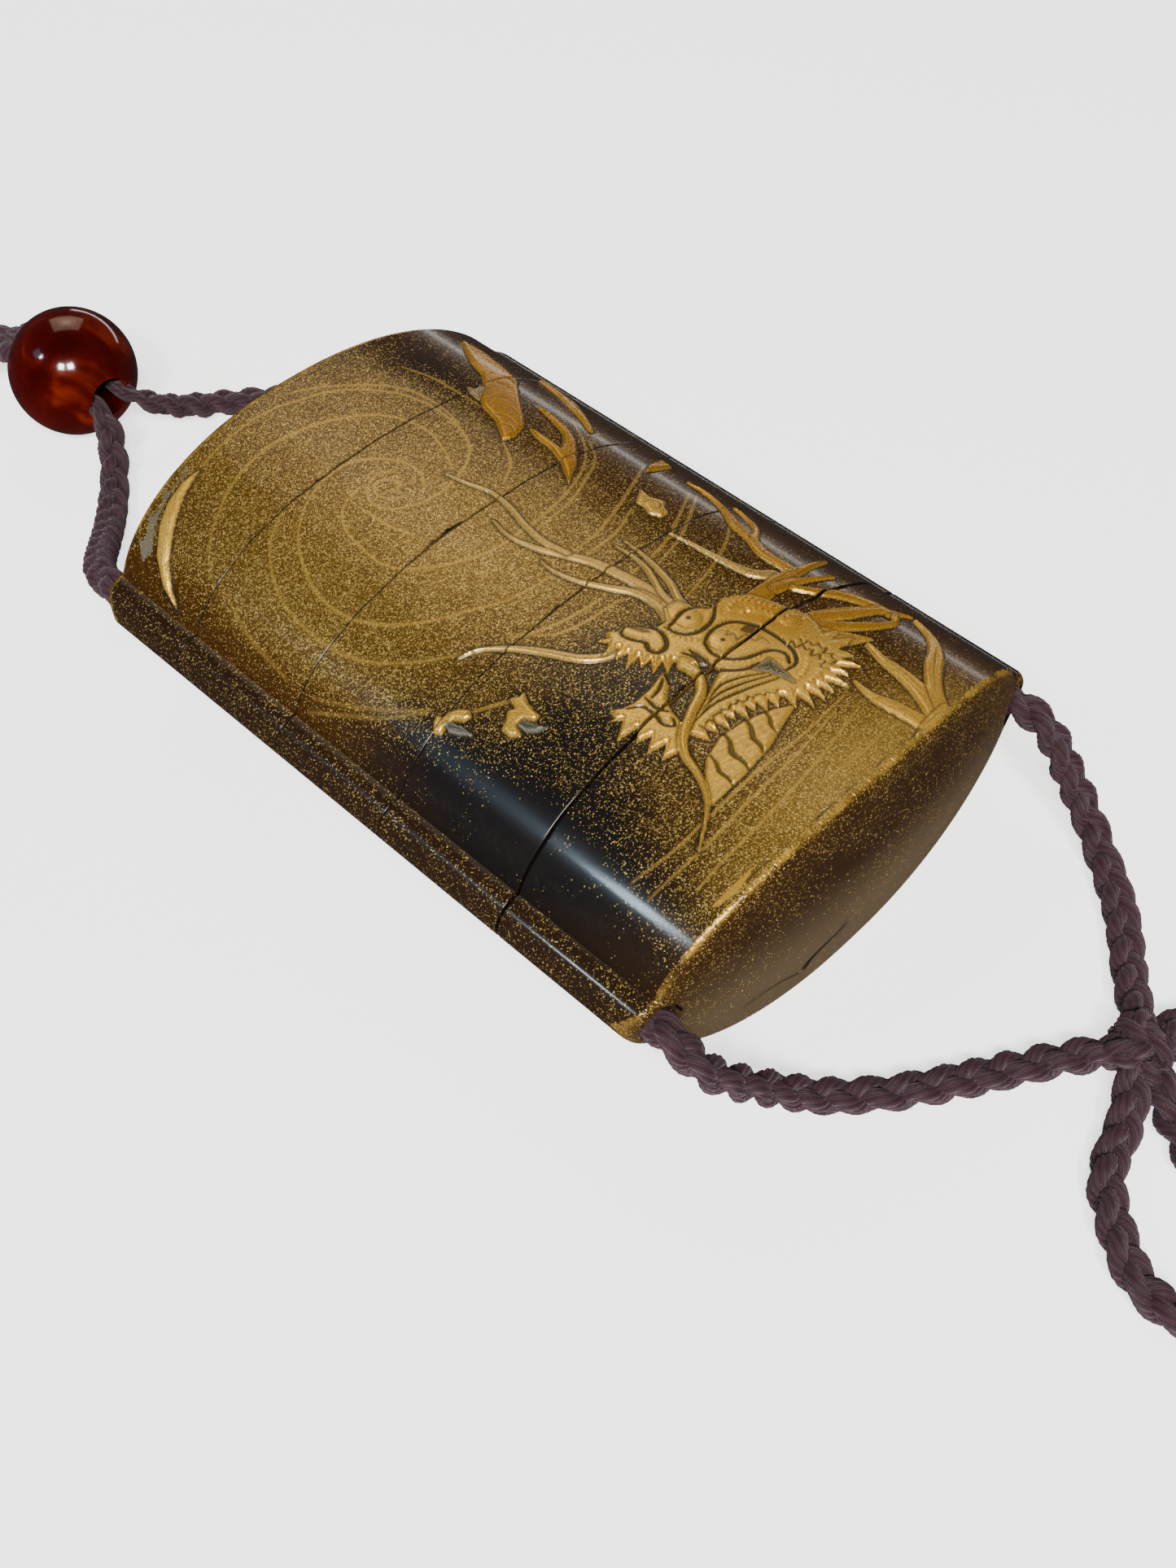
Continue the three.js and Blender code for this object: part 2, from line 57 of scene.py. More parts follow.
def add_camera():
    data = bpy.data.cameras.new("camera")
    data.lens = CAMERA_LENS
    data.sensor_width = 36
    data.clip_start = 0.01
    camera = bpy.data.objects.new("camera", data)
    camera.location = [value * MM for value in CAMERA_PLACE]
    camera.rotation_euler = [math.radians(angle) for angle in CAMERA_TURN]
    bpy.context.scene.collection.objects.link(camera)
    bpy.context.scene.camera = camera


# Meshes
class Shell:
    """Collects the surfaces of one piece, with attributes on their points, and welds them into a mesh."""

    def __init__(self):
        self.points = []
        self.faces = []
        self.values = {}
        self.count = 0

    def add_points(self, points, values=None):
        """Adds an array of points and the attributes that they carry, and returns the first one's number."""
        points = np.asarray(points, float).reshape(-1, 3)
        start = self.count
        self.points.append(points)
        self.count += len(points)
        for name, value in (values or {}).items():
            self.values.setdefault(name, []).append((start, np.ravel(value)))
        return start

    def add_grid(self, points, closed=False, values=None):
        """Adds a grid of points, rows by columns, closed across its columns if asked."""
        rows, columns = points.shape[:2]
        start = self.add_points(points, values)
        number = start + np.arange(rows * columns).reshape(rows, columns)
        if closed:
            number = np.concatenate([number, number[:, :1]], axis=1)
        quads = [number[:-1, :-1], number[:-1, 1:], number[1:, 1:], number[1:, :-1]]
        self.faces.append(np.stack(quads, axis=-1).reshape(-1, 4))

    def add_band(self, *loops):
        """Joins closed loops of points, each to the next."""
        self.add_grid(np.stack(loops), closed=True)

    def add_flat(self, loops):
        """Fills the space between loops that share one plane as seen along Y, the outer loop first."""
        flat = [[Vector((x, z, 0)) for x, _, z in loop] for loop in loops]
        start = self.add_points(np.concatenate(loops))
        self.faces.append(start + np.array(tessellate_polygon(flat)))

    def mesh(self, name):
        points = np.concatenate(self.points) * MM
        data = bpy.data.meshes.new(name)
        data.from_pydata(points, [], [face for part in self.faces for face in part.tolist()])
        for key, parts in self.values.items():
            layer = np.zeros(self.count, np.float32)
            for start, value in parts:
                layer[start:start + len(value)] = value
            data.attributes.new(key, "FLOAT", "POINT").data.foreach_set("value", layer)
        return data

    def piece(self, name, weld=1e-7, sharp=35):
        """The welded piece, with its faces pointing out and its sharp edges marked."""
        data = self.mesh(name)
        work = bmesh.new()
        work.from_mesh(data)
        bmesh.ops.remove_doubles(work, verts=work.verts, dist=weld)
        bmesh.ops.recalc_face_normals(work, faces=work.faces)
        work.to_mesh(data)
        work.free()
        data.shade_smooth()
        data.set_sharp_from_angle(angle=math.radians(sharp))
        obj = bpy.data.objects.new(name, data)
        bpy.context.scene.collection.objects.link(obj)
        return obj


def distance_walked(line):
    """How far along the line each of its points lies."""
    return np.concatenate([[0.0], np.cumsum(np.linalg.norm(np.diff(line, axis=0), axis=1))])


def unit_rows(vectors):
    return vectors / np.linalg.norm(vectors, axis=1)[:, None]


def directions(line):
    return unit_rows(np.gradient(line, axis=0))


def blend(a, b, low, high, t):
    return ((high - t) * a + (t - low) * b) / (high - low)


def smooth_route(points, step):
    """Points a step apart on a smooth, centripetal curve through the given ones."""
    points = np.asarray(points, float)
    ends = [2 * points[0] - points[1], *points, 2 * points[-1] - points[-2]]
    fine = []
    for before, start, end, after in zip(ends, ends[1:], ends[2:], ends[3:]):
        gaps = [np.linalg.norm(b - a) ** 0.5 for a, b in ((before, start), (start, end), (end, after))]
        knots = np.cumsum([0.0, *gaps])
        t = np.linspace(knots[1], knots[2], 24, endpoint=False)[:, None]
        first = blend(before, start, knots[0], knots[1], t)
        second = blend(start, end, knots[1], knots[2], t)
        third = blend(end, after, knots[2], knots[3], t)
        left = blend(first, second, knots[0], knots[2], t)
        right = blend(second, third, knots[1], knots[3], t)
        fine.append(blend(left, right, knots[1], knots[2], t))
    return resample(np.concatenate([*fine, points[-1:]]), step)


def resample(line, step):
    """The same line with its points a step apart."""
    walked = distance_walked(line)
    count = max(2, int(round(walked[-1] / step)) + 1)
    at = np.linspace(0, walked[-1], count)
    return np.stack([np.interp(at, walked, line[:, k]) for k in range(line.shape[1])], axis=1)


# The cord: three plaited strands of silk along each route
PLAIT_PERIOD = 10.8
PLAIT_WIDTH = 0.95
PLAIT_RISE = 0.62
STRAND_RADIUS = 0.9
STRAND_SIDES = 24
SIDES_PER_THREAD = 3
STRAND_RING_STEP = 0.45
STRAND_TWIST = 7.5
STRAND_PHASES = [2 * math.pi * strand / 3 for strand in range(3)]
THREAD_DEPTH = 0.055
CHANNEL_SQUEEZE = 0.86
BEAD_SQUEEZE = 0.58
KNOT_SQUEEZE = 0.82
HALF_LENGTH = 39.8
RUNNER_CENTRE = 27.95
CASE_CENTRE_Z = 13.348
BEAD_CENTRE = np.array([-5.0, 82.7, 8.0])
BEAD_RADIUS = 8.1
BEAD_HOLE_RADIUS = 2.6
STRAND_SPACING = 3.7
KNOT_CENTRE = np.array([7.6, -71.0, 3.4])


def strand_at_bead(side, along):
    return [BEAD_CENTRE[0] + side * STRAND_SPACING / 2, BEAD_CENTRE[1] + along, BEAD_CENTRE[2]]


def mouth_point(side, end):
    return [side * RUNNER_CENTRE, end * (HALF_LENGTH - 0.5), CASE_CENTRE_Z]


def lead_point(side, end):
    return [side * RUNNER_CENTRE, end * (HALF_LENGTH + 2), CASE_CENTRE_Z - 0.1]


IN_BEAD = BEAD_RADIUS / 2
STRAND_LEAD = BEAD_RADIUS + 1.0
NEAR_LOWER = [
    mouth_point(-1, -1), lead_point(-1, -1), [-27.6, -44.2, 11.9], [-26.2, -46.0, 9.6], [-23.6, -47.6, 6.8],
    [-20.6, -49.4, 4.2], [-17.6, -51.8, 2.4], [-14.7, -54.2, 1.7], [-11.6, -56.8, 1.7], [-8.2, -59.2, 1.7],
    [-4.5, -61.6, 1.7], [-0.4, -64.2, 1.8], [3.2, -67.0, 2.4], [6.4, -70.0, 3.2],
]
NEAR_UPPER = [
    mouth_point(-1, 1), lead_point(-1, 1), [-27.0, 45.4, 12.2], [-24.2, 50.2, 9.4], [-20.6, 55.2, 6.2],
    [-16.9, 60.2, 3.5], [-13.6, 64.4, 2.2], [-10.8, 67.8, 2.3], [-8.6, 70.6, 3.9], [-7.3, 73.0, 6.4],
    strand_at_bead(-1, 1.6 - BEAD_RADIUS), strand_at_bead(-1, -IN_BEAD),
]
FAR_LOWER = [
    mouth_point(1, -1), lead_point(1, -1), [28.1, -44.4, 12.0], [28.3, -46.6, 9.4], [28.4, -48.9, 6.6],
    [27.9, -51.6, 4.0], [26.6, -54.4, 2.2], [24.4, -57.4, 1.7], [21.6, -60.4, 1.7], [18.6, -63.0, 1.7],
    [15.2, -65.6, 1.9], [12.2, -68.0, 2.5], [8.8, -70.6, 3.4],
]
FAR_UPPER = [
    mouth_point(1, 1), lead_point(1, 1), [27.4, 45.6, 12.0], [26.0, 50.0, 8.8], [23.8, 54.6, 5.6],
    [21.0, 59.0, 3.0], [17.8, 63.2, 1.9], [14.4, 66.8, 1.7], [10.6, 69.6, 1.7], [6.6, 71.4, 2.4],
    [2.8, 72.2, 4.0], [-0.4, 73.0, 6.0], strand_at_bead(1, 1.6 - BEAD_RADIUS), strand_at_bead(1, -IN_BEAD),
]
BIGHT = [
    strand_at_bead(-1, IN_BEAD), strand_at_bead(-1, STRAND_LEAD), [-7.8, 95.8, 6.0], [-9.4, 99.6, 3.2],
    [-11.8, 104.2, 1.8], [-14.6, 110.0, 1.7], [-17.6, 116.6, 1.7], [-19.9, 123.4, 1.7],
    [-19.4, 130.2, 1.7], [-14.2, 134.0, 1.7], [-8.6, 131.4, 1.7], [-6.6, 125.0, 1.7],
    [-6.0, 117.6, 1.7], [-5.2, 110.4, 1.7], [-4.2, 104.2, 1.8], [-3.4, 99.6, 3.2], [-3.1, 95.8, 6.0],
    strand_at_bead(1, STRAND_LEAD), strand_at_bead(1, IN_BEAD),
]
BOWS = [
    [
        [6.2, -71.6, 3.2], [2.8, -73.6, 2.4], [-0.8, -75.0, 1.7], [-4.9, -76.2, 1.7], [-8.6, -79.4, 1.7],
        [-11.8, -84.0, 1.7], [-11.9, -89.4, 1.7], [-6.9, -91.6, 1.7], [-2.2, -88.0, 1.7], [1.2, -82.4, 1.7],
        [4.2, -77.4, 2.0], [7.0, -73.0, 3.0],
    ],
    [
        [9.6, -72.4, 3.2], [12.6, -76.4, 2.0], [16.0, -80.8, 1.7], [20.2, -84.6, 1.7], [25.4, -85.0, 1.7],
        [27.8, -80.4, 1.7], [24.4, -76.4, 1.7], [19.0, -74.4, 1.7], [14.6, -72.9, 2.2], [10.4, -71.4, 3.2],
    ],
]


def route_sides(line):
    """The directions across and up at each point of a route that lies more or less flat."""
    along = directions(line)
    across = unit_rows(np.cross(along, [0.0, 0.0, 1.0]))
    return across, np.cross(across, along)


def strand_line(line, walked, phase, squeeze):
    """One strand's own line in the plait."""
    across, up = route_sides(line)
    roll = 0.3 * np.sin(walked / 9.0) + 0.2 * np.sin(walked / 4.3 + phase)
    turn = 2 * np.pi * walked / PLAIT_PERIOD + phase
    sideways = PLAIT_WIDTH * np.sin(turn) * squeeze
    rise = PLAIT_RISE * np.sin(2 * turn) * squeeze
    left = sideways * np.cos(roll) - rise * np.sin(roll)
    high = sideways * np.sin(roll) + rise * np.cos(roll)
    own = line + across * left[:, None] + up * high[:, None]
    own[:, 2] = np.maximum(own[:, 2], STRAND_RADIUS * squeeze * 0.98)
    return own


def add_strand(shell, line, walked, squeeze, phase):
    """A twisted strand with rows of threads standing out of it, closed at both ends."""
    across, up = route_sides(line)
    side = np.arange(STRAND_SIDES)
    in_groove = side % SIDES_PER_THREAD == 0
    angle = 2 * np.pi * side / STRAND_SIDES
    thread = np.where(in_groove, -THREAD_DEPTH, THREAD_DEPTH)
    turned = angle[None, :] + (walked / STRAND_TWIST)[:, None] * 2 * np.pi
    swell = 0.04 * np.sin(walked / 1.7 + phase)[:, None]
    wobble = 1 + swell + 0.03 * np.sin(3 * angle + walked[:, None] / 2.3)
    radius = (STRAND_RADIUS + thread)[None, :] * squeeze[:, None] * wobble
    ring = (
        line[:, None, :]
        + across[:, None, :] * (radius * np.cos(turned))[..., None]
        + up[:, None, :] * (radius * np.sin(turned))[..., None]
    )
    around = np.broadcast_to(side / STRAND_SIDES, turned.shape)
    # a mask for painted shade in the grooves between the threads
    groove_shade = np.broadcast_to(np.where(in_groove, 1.0, 0.0), turned.shape)
    shell.add_grid(ring, closed=True, values={"around": around, "groove_shade": groove_shade})
    for end in (0, -1):
        shell.add_band(ring[end], np.broadcast_to(line[end], ring[end].shape))


def squeeze_along(line):
    """How far the plait is pressed together at each point: in the case's channels, and inside the bead."""
    in_channel = 1 / (1 + np.exp((np.abs(line[:, 1]) - HALF_LENGTH + 0.4) * 3))
    near_bead = np.exp(-((line[:, 1] - BEAD_CENTRE[1]) / (BEAD_RADIUS + 1.5)) ** 8)
    return 1 - (1 - CHANNEL_SQUEEZE) * in_channel - (1 - BEAD_SQUEEZE) * near_bead


def add_cord(name, points, material):
    """A cord of three plaited strands along a smooth route, from its exit to its far end."""
    line = smooth_route(points, STRAND_RING_STEP)
    walked = distance_walked(line)
    squeeze = squeeze_along(line)
    shell = Shell()
    for phase in STRAND_PHASES:
        add_strand(shell, strand_line(line, walked, phase, squeeze), walked, squeeze, phase)
    cord = shell.piece(name + "_plait", sharp=50)
    cord.data.materials.append(material)
    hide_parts(name)
    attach(cord, "root")


def knot_lines():
    """A trefoil of plaited cord, pulled tight, and a wrap round its waist."""
    t = np.linspace(0, 2 * np.pi, 160)
    wide = 0.93
    trefoil = np.stack([
        wide * (np.sin(t) + 2 * np.sin(2 * t)),
        wide * (np.cos(t) - 2 * np.cos(2 * t)) * 0.9,
        -1.45 * np.sin(3 * t),
    ], axis=1)
    wrap = np.stack([0.8 + 0 * t, 2.2 * np.cos(t), 1.5 * np.sin(t)], axis=1)
    return [resample(line + KNOT_CENTRE, STRAND_RING_STEP) for line in (trefoil, wrap)]


def knot_strand(line, walked, phase):
    """One strand's own line round a loop of the knot."""
    out = unit_rows(line - KNOT_CENTRE)
    side = unit_rows(np.cross(directions(line), out))
    turn = 2 * np.pi * walked / PLAIT_PERIOD * 1.15 + phase
    own = line + side * (0.75 * np.sin(turn))[:, None] + out * (0.45 * np.sin(2 * turn))[:, None]
    own[:, 2] = np.maximum(own[:, 2], STRAND_RADIUS * 0.85)
    return own


def add_knot(material):
    shell = Shell()
    for line in knot_lines():
        walked = distance_walked(line)
        squeeze = np.full(len(line), KNOT_SQUEEZE)
        for phase in STRAND_PHASES:
            add_strand(shell, knot_strand(line, walked, phase), walked, squeeze, phase)
    knot = shell.piece("bow_knot", sharp=50)
    knot.data.materials.append(material)
    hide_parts("cord_knot")
    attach(knot, "root")


# Materials
class Nodes:
    """Short calls for building a material's nodes."""

    def __init__(self, name):
        self.material = bpy.data.materials.new(name)
        self.material.use_nodes = True
        self.tree = self.material.node_tree
        self.shader = self.tree.nodes["Principled BSDF"]

    def new(self, kind, **settings):
        node = self.tree.nodes.new(kind)
        for key, value in settings.items():
            setattr(node, key, value)
        return node

    def link(self, source, target):
        self.tree.links.new(source, target)

    def put(self, socket, value):
        if isinstance(value, bpy.types.NodeSocket):
            self.link(value, socket)
        else:
            socket.default_value = value

    def place(self):
        """Object coordinates in millimetres."""
        coordinates = self.new("ShaderNodeTexCoord")
        scale = self.new("ShaderNodeVectorMath", operation="SCALE")
        self.link(coordinates.outputs["Object"], scale.inputs[0])
        scale.inputs["Scale"].default_value = 1 / MM
        return scale.outputs[0]

    def attribute(self, name):
        node = self.new("ShaderNodeAttribute", attribute_name=name)
        return node.outputs["Fac"]

    def math(self, operation, a, b=0.0, c=0.0):
        node = self.new("ShaderNodeMath", operation=operation)
        for socket, value in zip(node.inputs, (a, b, c)):
            self.put(socket, value)
        return node.outputs[0]

    def mix(self, share, a, b):
        node = self.new("ShaderNodeMix", data_type="RGBA")
        self.put(node.inputs["Factor"], share)
        inputs = [socket for socket in node.inputs if socket.type == "RGBA"]
        self.put(inputs[0], a)
        self.put(inputs[1], b)
        return [socket for socket in node.outputs if socket.type == "RGBA"][0]

    def noise(self, vector, scale, detail=2.0, roughness=0.5, distortion=0.0):
        node = self.new("ShaderNodeTexNoise")
        self.link(vector, node.inputs["Vector"])
        node.inputs["Scale"].default_value = scale
        node.inputs["Detail"].default_value = detail
        node.inputs["Roughness"].default_value = roughness
        node.inputs["Distortion"].default_value = distortion
        return node.outputs["Fac"]

    def cells(self, vector, scale):
        """Two random numbers in each cell."""
        node = self.new("ShaderNodeTexVoronoi")
        self.link(vector, node.inputs["Vector"])
        node.inputs["Scale"].default_value = scale
        split = self.new("ShaderNodeSeparateColor")
        self.link(node.outputs["Color"], split.inputs[0])
        return split.outputs[0], split.outputs[1]

    def ramp(self, value, stops):
        node = self.new("ShaderNodeValToRGB")
        self.put(node.inputs[0], value)
        elements = node.color_ramp.elements
        while len(elements) < len(stops):
            elements.new(0.5)
        for element, (place, colour) in zip(elements, stops):
            element.position = place
            element.color = (*colour, 1.0)
        return node.outputs[0]

    def spread(self, value, low, high):
        """Zero up to low, one from high on, and smooth between."""
        node = self.new("ShaderNodeMapRange", interpolation_type="SMOOTHSTEP")
        self.put(node.inputs["Value"], value)
        node.inputs["From Min"].default_value = low
        node.inputs["From Max"].default_value = high
        return node.outputs[0]

    def bump(self, height, distance, strength=1.0):
        node = self.new("ShaderNodeBump")
        self.put(node.inputs["Height"], height)
        node.inputs["Distance"].default_value = distance * MM
        node.inputs["Strength"].default_value = strength
        self.link(node.outputs[0], self.shader.inputs["Normal"])

    def set(self, **values):
        """Sets the shader's inputs, named with underlines for blanks, to a constant or a node's output."""
        for key, value in values.items():
            self.put(self.shader.inputs[key.replace("_", " ")], value)


def silk_material():
    nodes = Nodes("silk")
    place = nodes.place()
    turn = nodes.math("MULTIPLY", nodes.attribute("around"), 2 * math.pi * STRAND_SIDES)
    threads = nodes.math("SINE", turn)
    worn = nodes.noise(place, 0.35, detail=3)
    fuzz = nodes.noise(place, 6.0, detail=3, roughness=0.6)
    plum = nodes.mix(worn, (0.016, 0.004, 0.007, 1), (0.040, 0.011, 0.015, 1))
    dusty = nodes.mix(nodes.math("MULTIPLY", fuzz, 0.5), plum, (0.062, 0.023, 0.031, 1))
    # painted shade in the grooves between the threads
    in_groove = nodes.math("MULTIPLY", nodes.attribute("groove_shade"), 0.75)
    nodes.set(Base_Color=nodes.mix(in_groove, dusty, (0.008, 0.003, 0.006, 1)), Roughness=0.62)
    nodes.set(Specular_IOR_Level=0.35, Sheen_Weight=0.15, Sheen_Roughness=0.4)
    nodes.set(Sheen_Tint=(0.75, 0.6, 0.75, 1))
    nodes.bump(nodes.math("ADD", nodes.math("MULTIPLY", threads, 0.5), fuzz), 0.09, 0.8)
    return nodes.material


STONE_REDS = [(0.38, (0.020, 0.0, 0.0)), (0.54, (0.042, 0.001, 0.0)), (0.72, (0.14, 0.012, 0.002))]


def carnelian_material():
    nodes = Nodes("carnelian")
    place = nodes.place()
    deep = nodes.ramp(nodes.noise(place, 0.09, detail=3, distortion=1.6), STONE_REDS)
    cloud = nodes.spread(nodes.noise(place, 0.22, detail=4), 0.45, 0.8)
    nodes.set(Base_Color=nodes.mix(cloud, deep, (0.032, 0.0, 0.0, 1)), Roughness=0.12)
    nodes.set(Subsurface_Weight=0.2, Subsurface_Radius=(1.0, 0.1, 0.05), Subsurface_Scale=0.002)
    nodes.set(Specular_IOR_Level=0.4, Coat_Weight=0.2, Coat_Roughness=0.04)
    nodes.bump(nodes.noise(place, 1.2, detail=2), 0.02, 0.4)
    return nodes.material


FLAKE_GOLDS = [(0.0, (0.10, 0.055, 0.008)), (0.6, (0.28, 0.18, 0.038)), (1.0, (0.70, 0.50, 0.16))]
RAISED_GOLDS = [(0.3, (0.44, 0.22, 0.022)), (0.55, (0.74, 0.44, 0.070)), (0.75, (0.96, 0.68, 0.19))]
# How many cells of flakes lie in a millimetre, and the share of them that is gold where it is densest
FINE_FLAKES = (9.5, 0.8)
COARSE_FLAKES = (5.5, 0.08)


def lacquer_material():
    """Brown-black lacquer sprinkled with gold, with the painted and raised parts of the picture."""
    nodes = Nodes("lacquer")
    place = nodes.place()
    painted, gold, silver, ink_and_shade, chipped = (
        nodes.attribute(key) for key in ("painted", "gold", "silver", "ink_and_shade", "chipped")
    )
    chance, shade = nodes.cells(place, FINE_FLAKES[0])
    coarse_chance, _ = nodes.cells(place, COARSE_FLAKES[0])
    patch = nodes.noise(place, 0.22, detail=3)
    dense = nodes.math("ADD", nodes.attribute("sprinkle"), nodes.math("MULTIPLY_ADD", patch, 0.3, -0.15))
    fine_flake = nodes.math("LESS_THAN", chance, nodes.math("MULTIPLY", dense, FINE_FLAKES[1]))
    coarse_flake = nodes.math("LESS_THAN", coarse_chance, nodes.math("MULTIPLY", dense, COARSE_FLAKES[1]))
    flake = nodes.math("MAXIMUM", fine_flake, coarse_flake)
    powder = nodes.spread(dense, 0.15, 1.0)
    bare = nodes.mix(nodes.attribute("brown"), (0.006, 0.005, 0.005, 1), (0.032, 0.012, 0.001, 1))
    under = nodes.mix(nodes.math("MULTIPLY", powder, 0.8), bare, (0.135, 0.070, 0.010, 1))
    # painted reflection of the floor on the ends
    under = nodes.mix(nodes.attribute("painted_floor_reflection"), under, (0.074, 0.050, 0.025, 1))
    ground = nodes.mix(flake, under, nodes.ramp(shade, FLAKE_GOLDS))
    ground = nodes.mix(nodes.math("MULTIPLY", painted, 0.72), ground, (0.52, 0.32, 0.065, 1))
    grain = nodes.noise(place, 5.5, detail=3, roughness=0.65)
    rich = nodes.mix(nodes.attribute("amber"), nodes.ramp(grain, RAISED_GOLDS), (0.40, 0.175, 0.008, 1))
    colour = nodes.mix(gold, ground, rich)
    colour = nodes.mix(silver, colour, nodes.mix(grain, (0.05, 0.055, 0.045, 1), (0.26, 0.26, 0.20, 1)))
    # dark lines, together with painted shade round raised forms, along engraved lines, in hollows and along
    # seams
    colour = nodes.mix(ink_and_shade, colour, (0.010, 0.007, 0.005, 1))
    colour = nodes.mix(chipped, colour, (0.26, 0.09, 0.03, 1))
    metal = nodes.math("MAXIMUM", nodes.math("MULTIPLY", flake, 0.7), nodes.math("MULTIPLY", powder, 0.5))
    metal = nodes.math("MAXIMUM", metal, nodes.math("MULTIPLY", nodes.math("MAXIMUM", gold, painted), 0.75))
    metal = nodes.math("MULTIPLY", metal, nodes.math("SUBTRACT", 1.0, nodes.math("MAXIMUM", ink_and_shade, chipped)))
    rough = nodes.math("MULTIPLY_ADD", nodes.math("MAXIMUM", flake, powder), 0.2, 0.24)
    rough = nodes.math("MULTIPLY_ADD", nodes.attribute("satin"), 0.3, rough)
    nodes.set(Base_Color=colour, Metallic=metal, Roughness=rough)
    nodes.set(Specular_IOR_Level=0.12, Coat_Weight=0.2, Coat_Roughness=0.1)
    nodes.bump(nodes.math("MULTIPLY_ADD", chance, 0.5, nodes.math("MULTIPLY", grain, gold)), 0.035, 0.7)
    return nodes.material


# The case's section: a rounded lens with a half-round runner along each side
HALF_WIDTH = 28.3
HALF_DEPTH = 13.5
ROUNDNESS = 2.32
FLAT_BACK_HALF = 5.5
RUNNER_RADIUS = 2.85
CHANNEL_RADIUS = 1.9
MOUTH_RADIUS = 2.25
MOUTH_CENTRE = 27.45
MOUTH_DEPTH = 2.5
SEAM_GAP = 0.3
END_BOW = 2.16
END_DOME = 1.6
RIM_ROUNDING = 0.8
CORNER_ROUNDING = 2.3
END_WALL = 1.8
FLOOR = 1.2
RISER_HEIGHT = 5.0
SOCKET_DEPTH = 5.3
SOCKET_HALF = (25.05, 11.9)
RISER_HALF = (24.75, 11.6)
INNER_HALF = (23.85, 10.7)
HAIRLINE = 0.035
WIDE_GAP = 0.17
INNER_SIDES = 96
BORE_SIDES = 32
# The spacing of points across the front, where the dragon's finest lines are, and across the back
FRONT_SPACING = 0.18
FINE_SPACING = 0.12
FINE_SPAN = (-14, 16)
BACK_SPACING = 1.0


def lens_height(x, half_width=HALF_WIDTH, half_depth=HALF_DEPTH):
    share = np.minimum(np.abs(x) / half_width, 1.0)
    return half_depth * np.sqrt(np.maximum(1.0 - share ** ROUNDNESS, 0.0))


def groove_place():
    """Where the runner's circle leaves the lens, found by halving."""
    low, high = RUNNER_CENTRE - RUNNER_RADIUS, HALF_WIDTH
    for _ in range(50):
        middle = (low + high) / 2
        circle = math.sqrt(max(RUNNER_RADIUS ** 2 - (middle - RUNNER_CENTRE) ** 2, 0.0))
        if lens_height(middle) > circle:
            low = middle
        else:
            high = middle
    return low


GROOVE_X = groove_place()


def lens_normal(x, z):
    across = ROUNDNESS * (np.abs(x) / HALF_WIDTH) ** (ROUNDNESS - 1) * np.sign(x) / HALF_WIDTH
    high = 2 * z / HALF_DEPTH ** 2
    size = np.hypot(across, high)
    return across / size, high / size


def spaced_lens(low, high, spacing):
    """Places x along the lens from low to high, as far apart along it as spacing says at x."""
    x = np.linspace(low, high, 6000)
    walked = np.hypot(np.diff(x), np.diff(lens_height(x)))
    steps = np.concatenate([[0.0], np.cumsum(walked / spacing((x[1:] + x[:-1]) / 2))])
    return np.interp(np.linspace(0, steps[-1], int(round(steps[-1])) + 1), steps, x)


def front_spacing(x):
    return np.where((x > FINE_SPAN[0]) & (x < FINE_SPAN[1]), FINE_SPACING, FRONT_SPACING)


def back_spacing(x):
    return np.full_like(x, BACK_SPACING)


class Section:
    """The outline of the case as seen along Y, once round from the near groove over the front."""

    def __init__(self):
        front_x = spaced_lens(-GROOVE_X, GROOVE_X, front_spacing)
        front_z = lens_height(front_x)
        angle = math.atan2(float(lens_height(GROOVE_X)), GROOVE_X - RUNNER_CENTRE)
        turn = np.linspace(angle, -angle, 26)[1:-1]
        runner_x, runner_z = np.cos(turn), np.sin(turn)
        back_x = spaced_lens(FLAT_BACK_HALF, GROOVE_X, back_spacing)[::-1]
        flat_x = np.linspace(FLAT_BACK_HALF, -FLAT_BACK_HALF, 8)[1:-1]
        back_x = np.concatenate([back_x, flat_x, -back_x[::-1]])
        back_z = -lens_height(back_x)
        back_z[np.abs(back_x) < FLAT_BACK_HALF] = -float(lens_height(FLAT_BACK_HALF))
        self.front = len(front_x)
        self.x = np.concatenate([
            front_x, RUNNER_CENTRE + RUNNER_RADIUS * runner_x,
            back_x, -RUNNER_CENTRE - RUNNER_RADIUS * runner_x[::-1],
        ])
        self.z = np.concatenate([front_z, RUNNER_RADIUS * runner_z, back_z, RUNNER_RADIUS * runner_z[::-1]])
        front_n = lens_normal(front_x, front_z)
        back_n = lens_normal(back_x, back_z)
        self.nx = np.concatenate([front_n[0], runner_x, back_n[0], -runner_x[::-1]])
        self.nz = np.concatenate([front_n[1], runner_z, back_n[1], runner_z[::-1]])


def end_reach(x, z, inside=0.0):
    """How far the end of the case reaches in Y at a point of its section, inside by so much from its rim."""
    across = np.minimum(np.abs(x) / RUNNER_CENTRE, 1.0)
    lens = np.minimum((np.abs(x) / HALF_WIDTH) ** ROUNDNESS + (z / HALF_DEPTH) ** 2, 1.0)
    corner = np.clip(np.abs(x) - (RUNNER_CENTRE + RUNNER_RADIUS - CORNER_ROUNDING), 0, CORNER_ROUNDING)
    corner_drop = CORNER_ROUNDING - np.sqrt(CORNER_ROUNDING ** 2 - corner ** 2)
    rim = np.clip(RIM_ROUNDING - inside, 0, RIM_ROUNDING)
    rim_drop = RIM_ROUNDING - np.sqrt(np.maximum(RIM_ROUNDING ** 2 - rim ** 2, 0.0))
    return HALF_LENGTH + END_BOW * (1 - across ** 2) + END_DOME * (1 - lens) - corner_drop - rim_drop


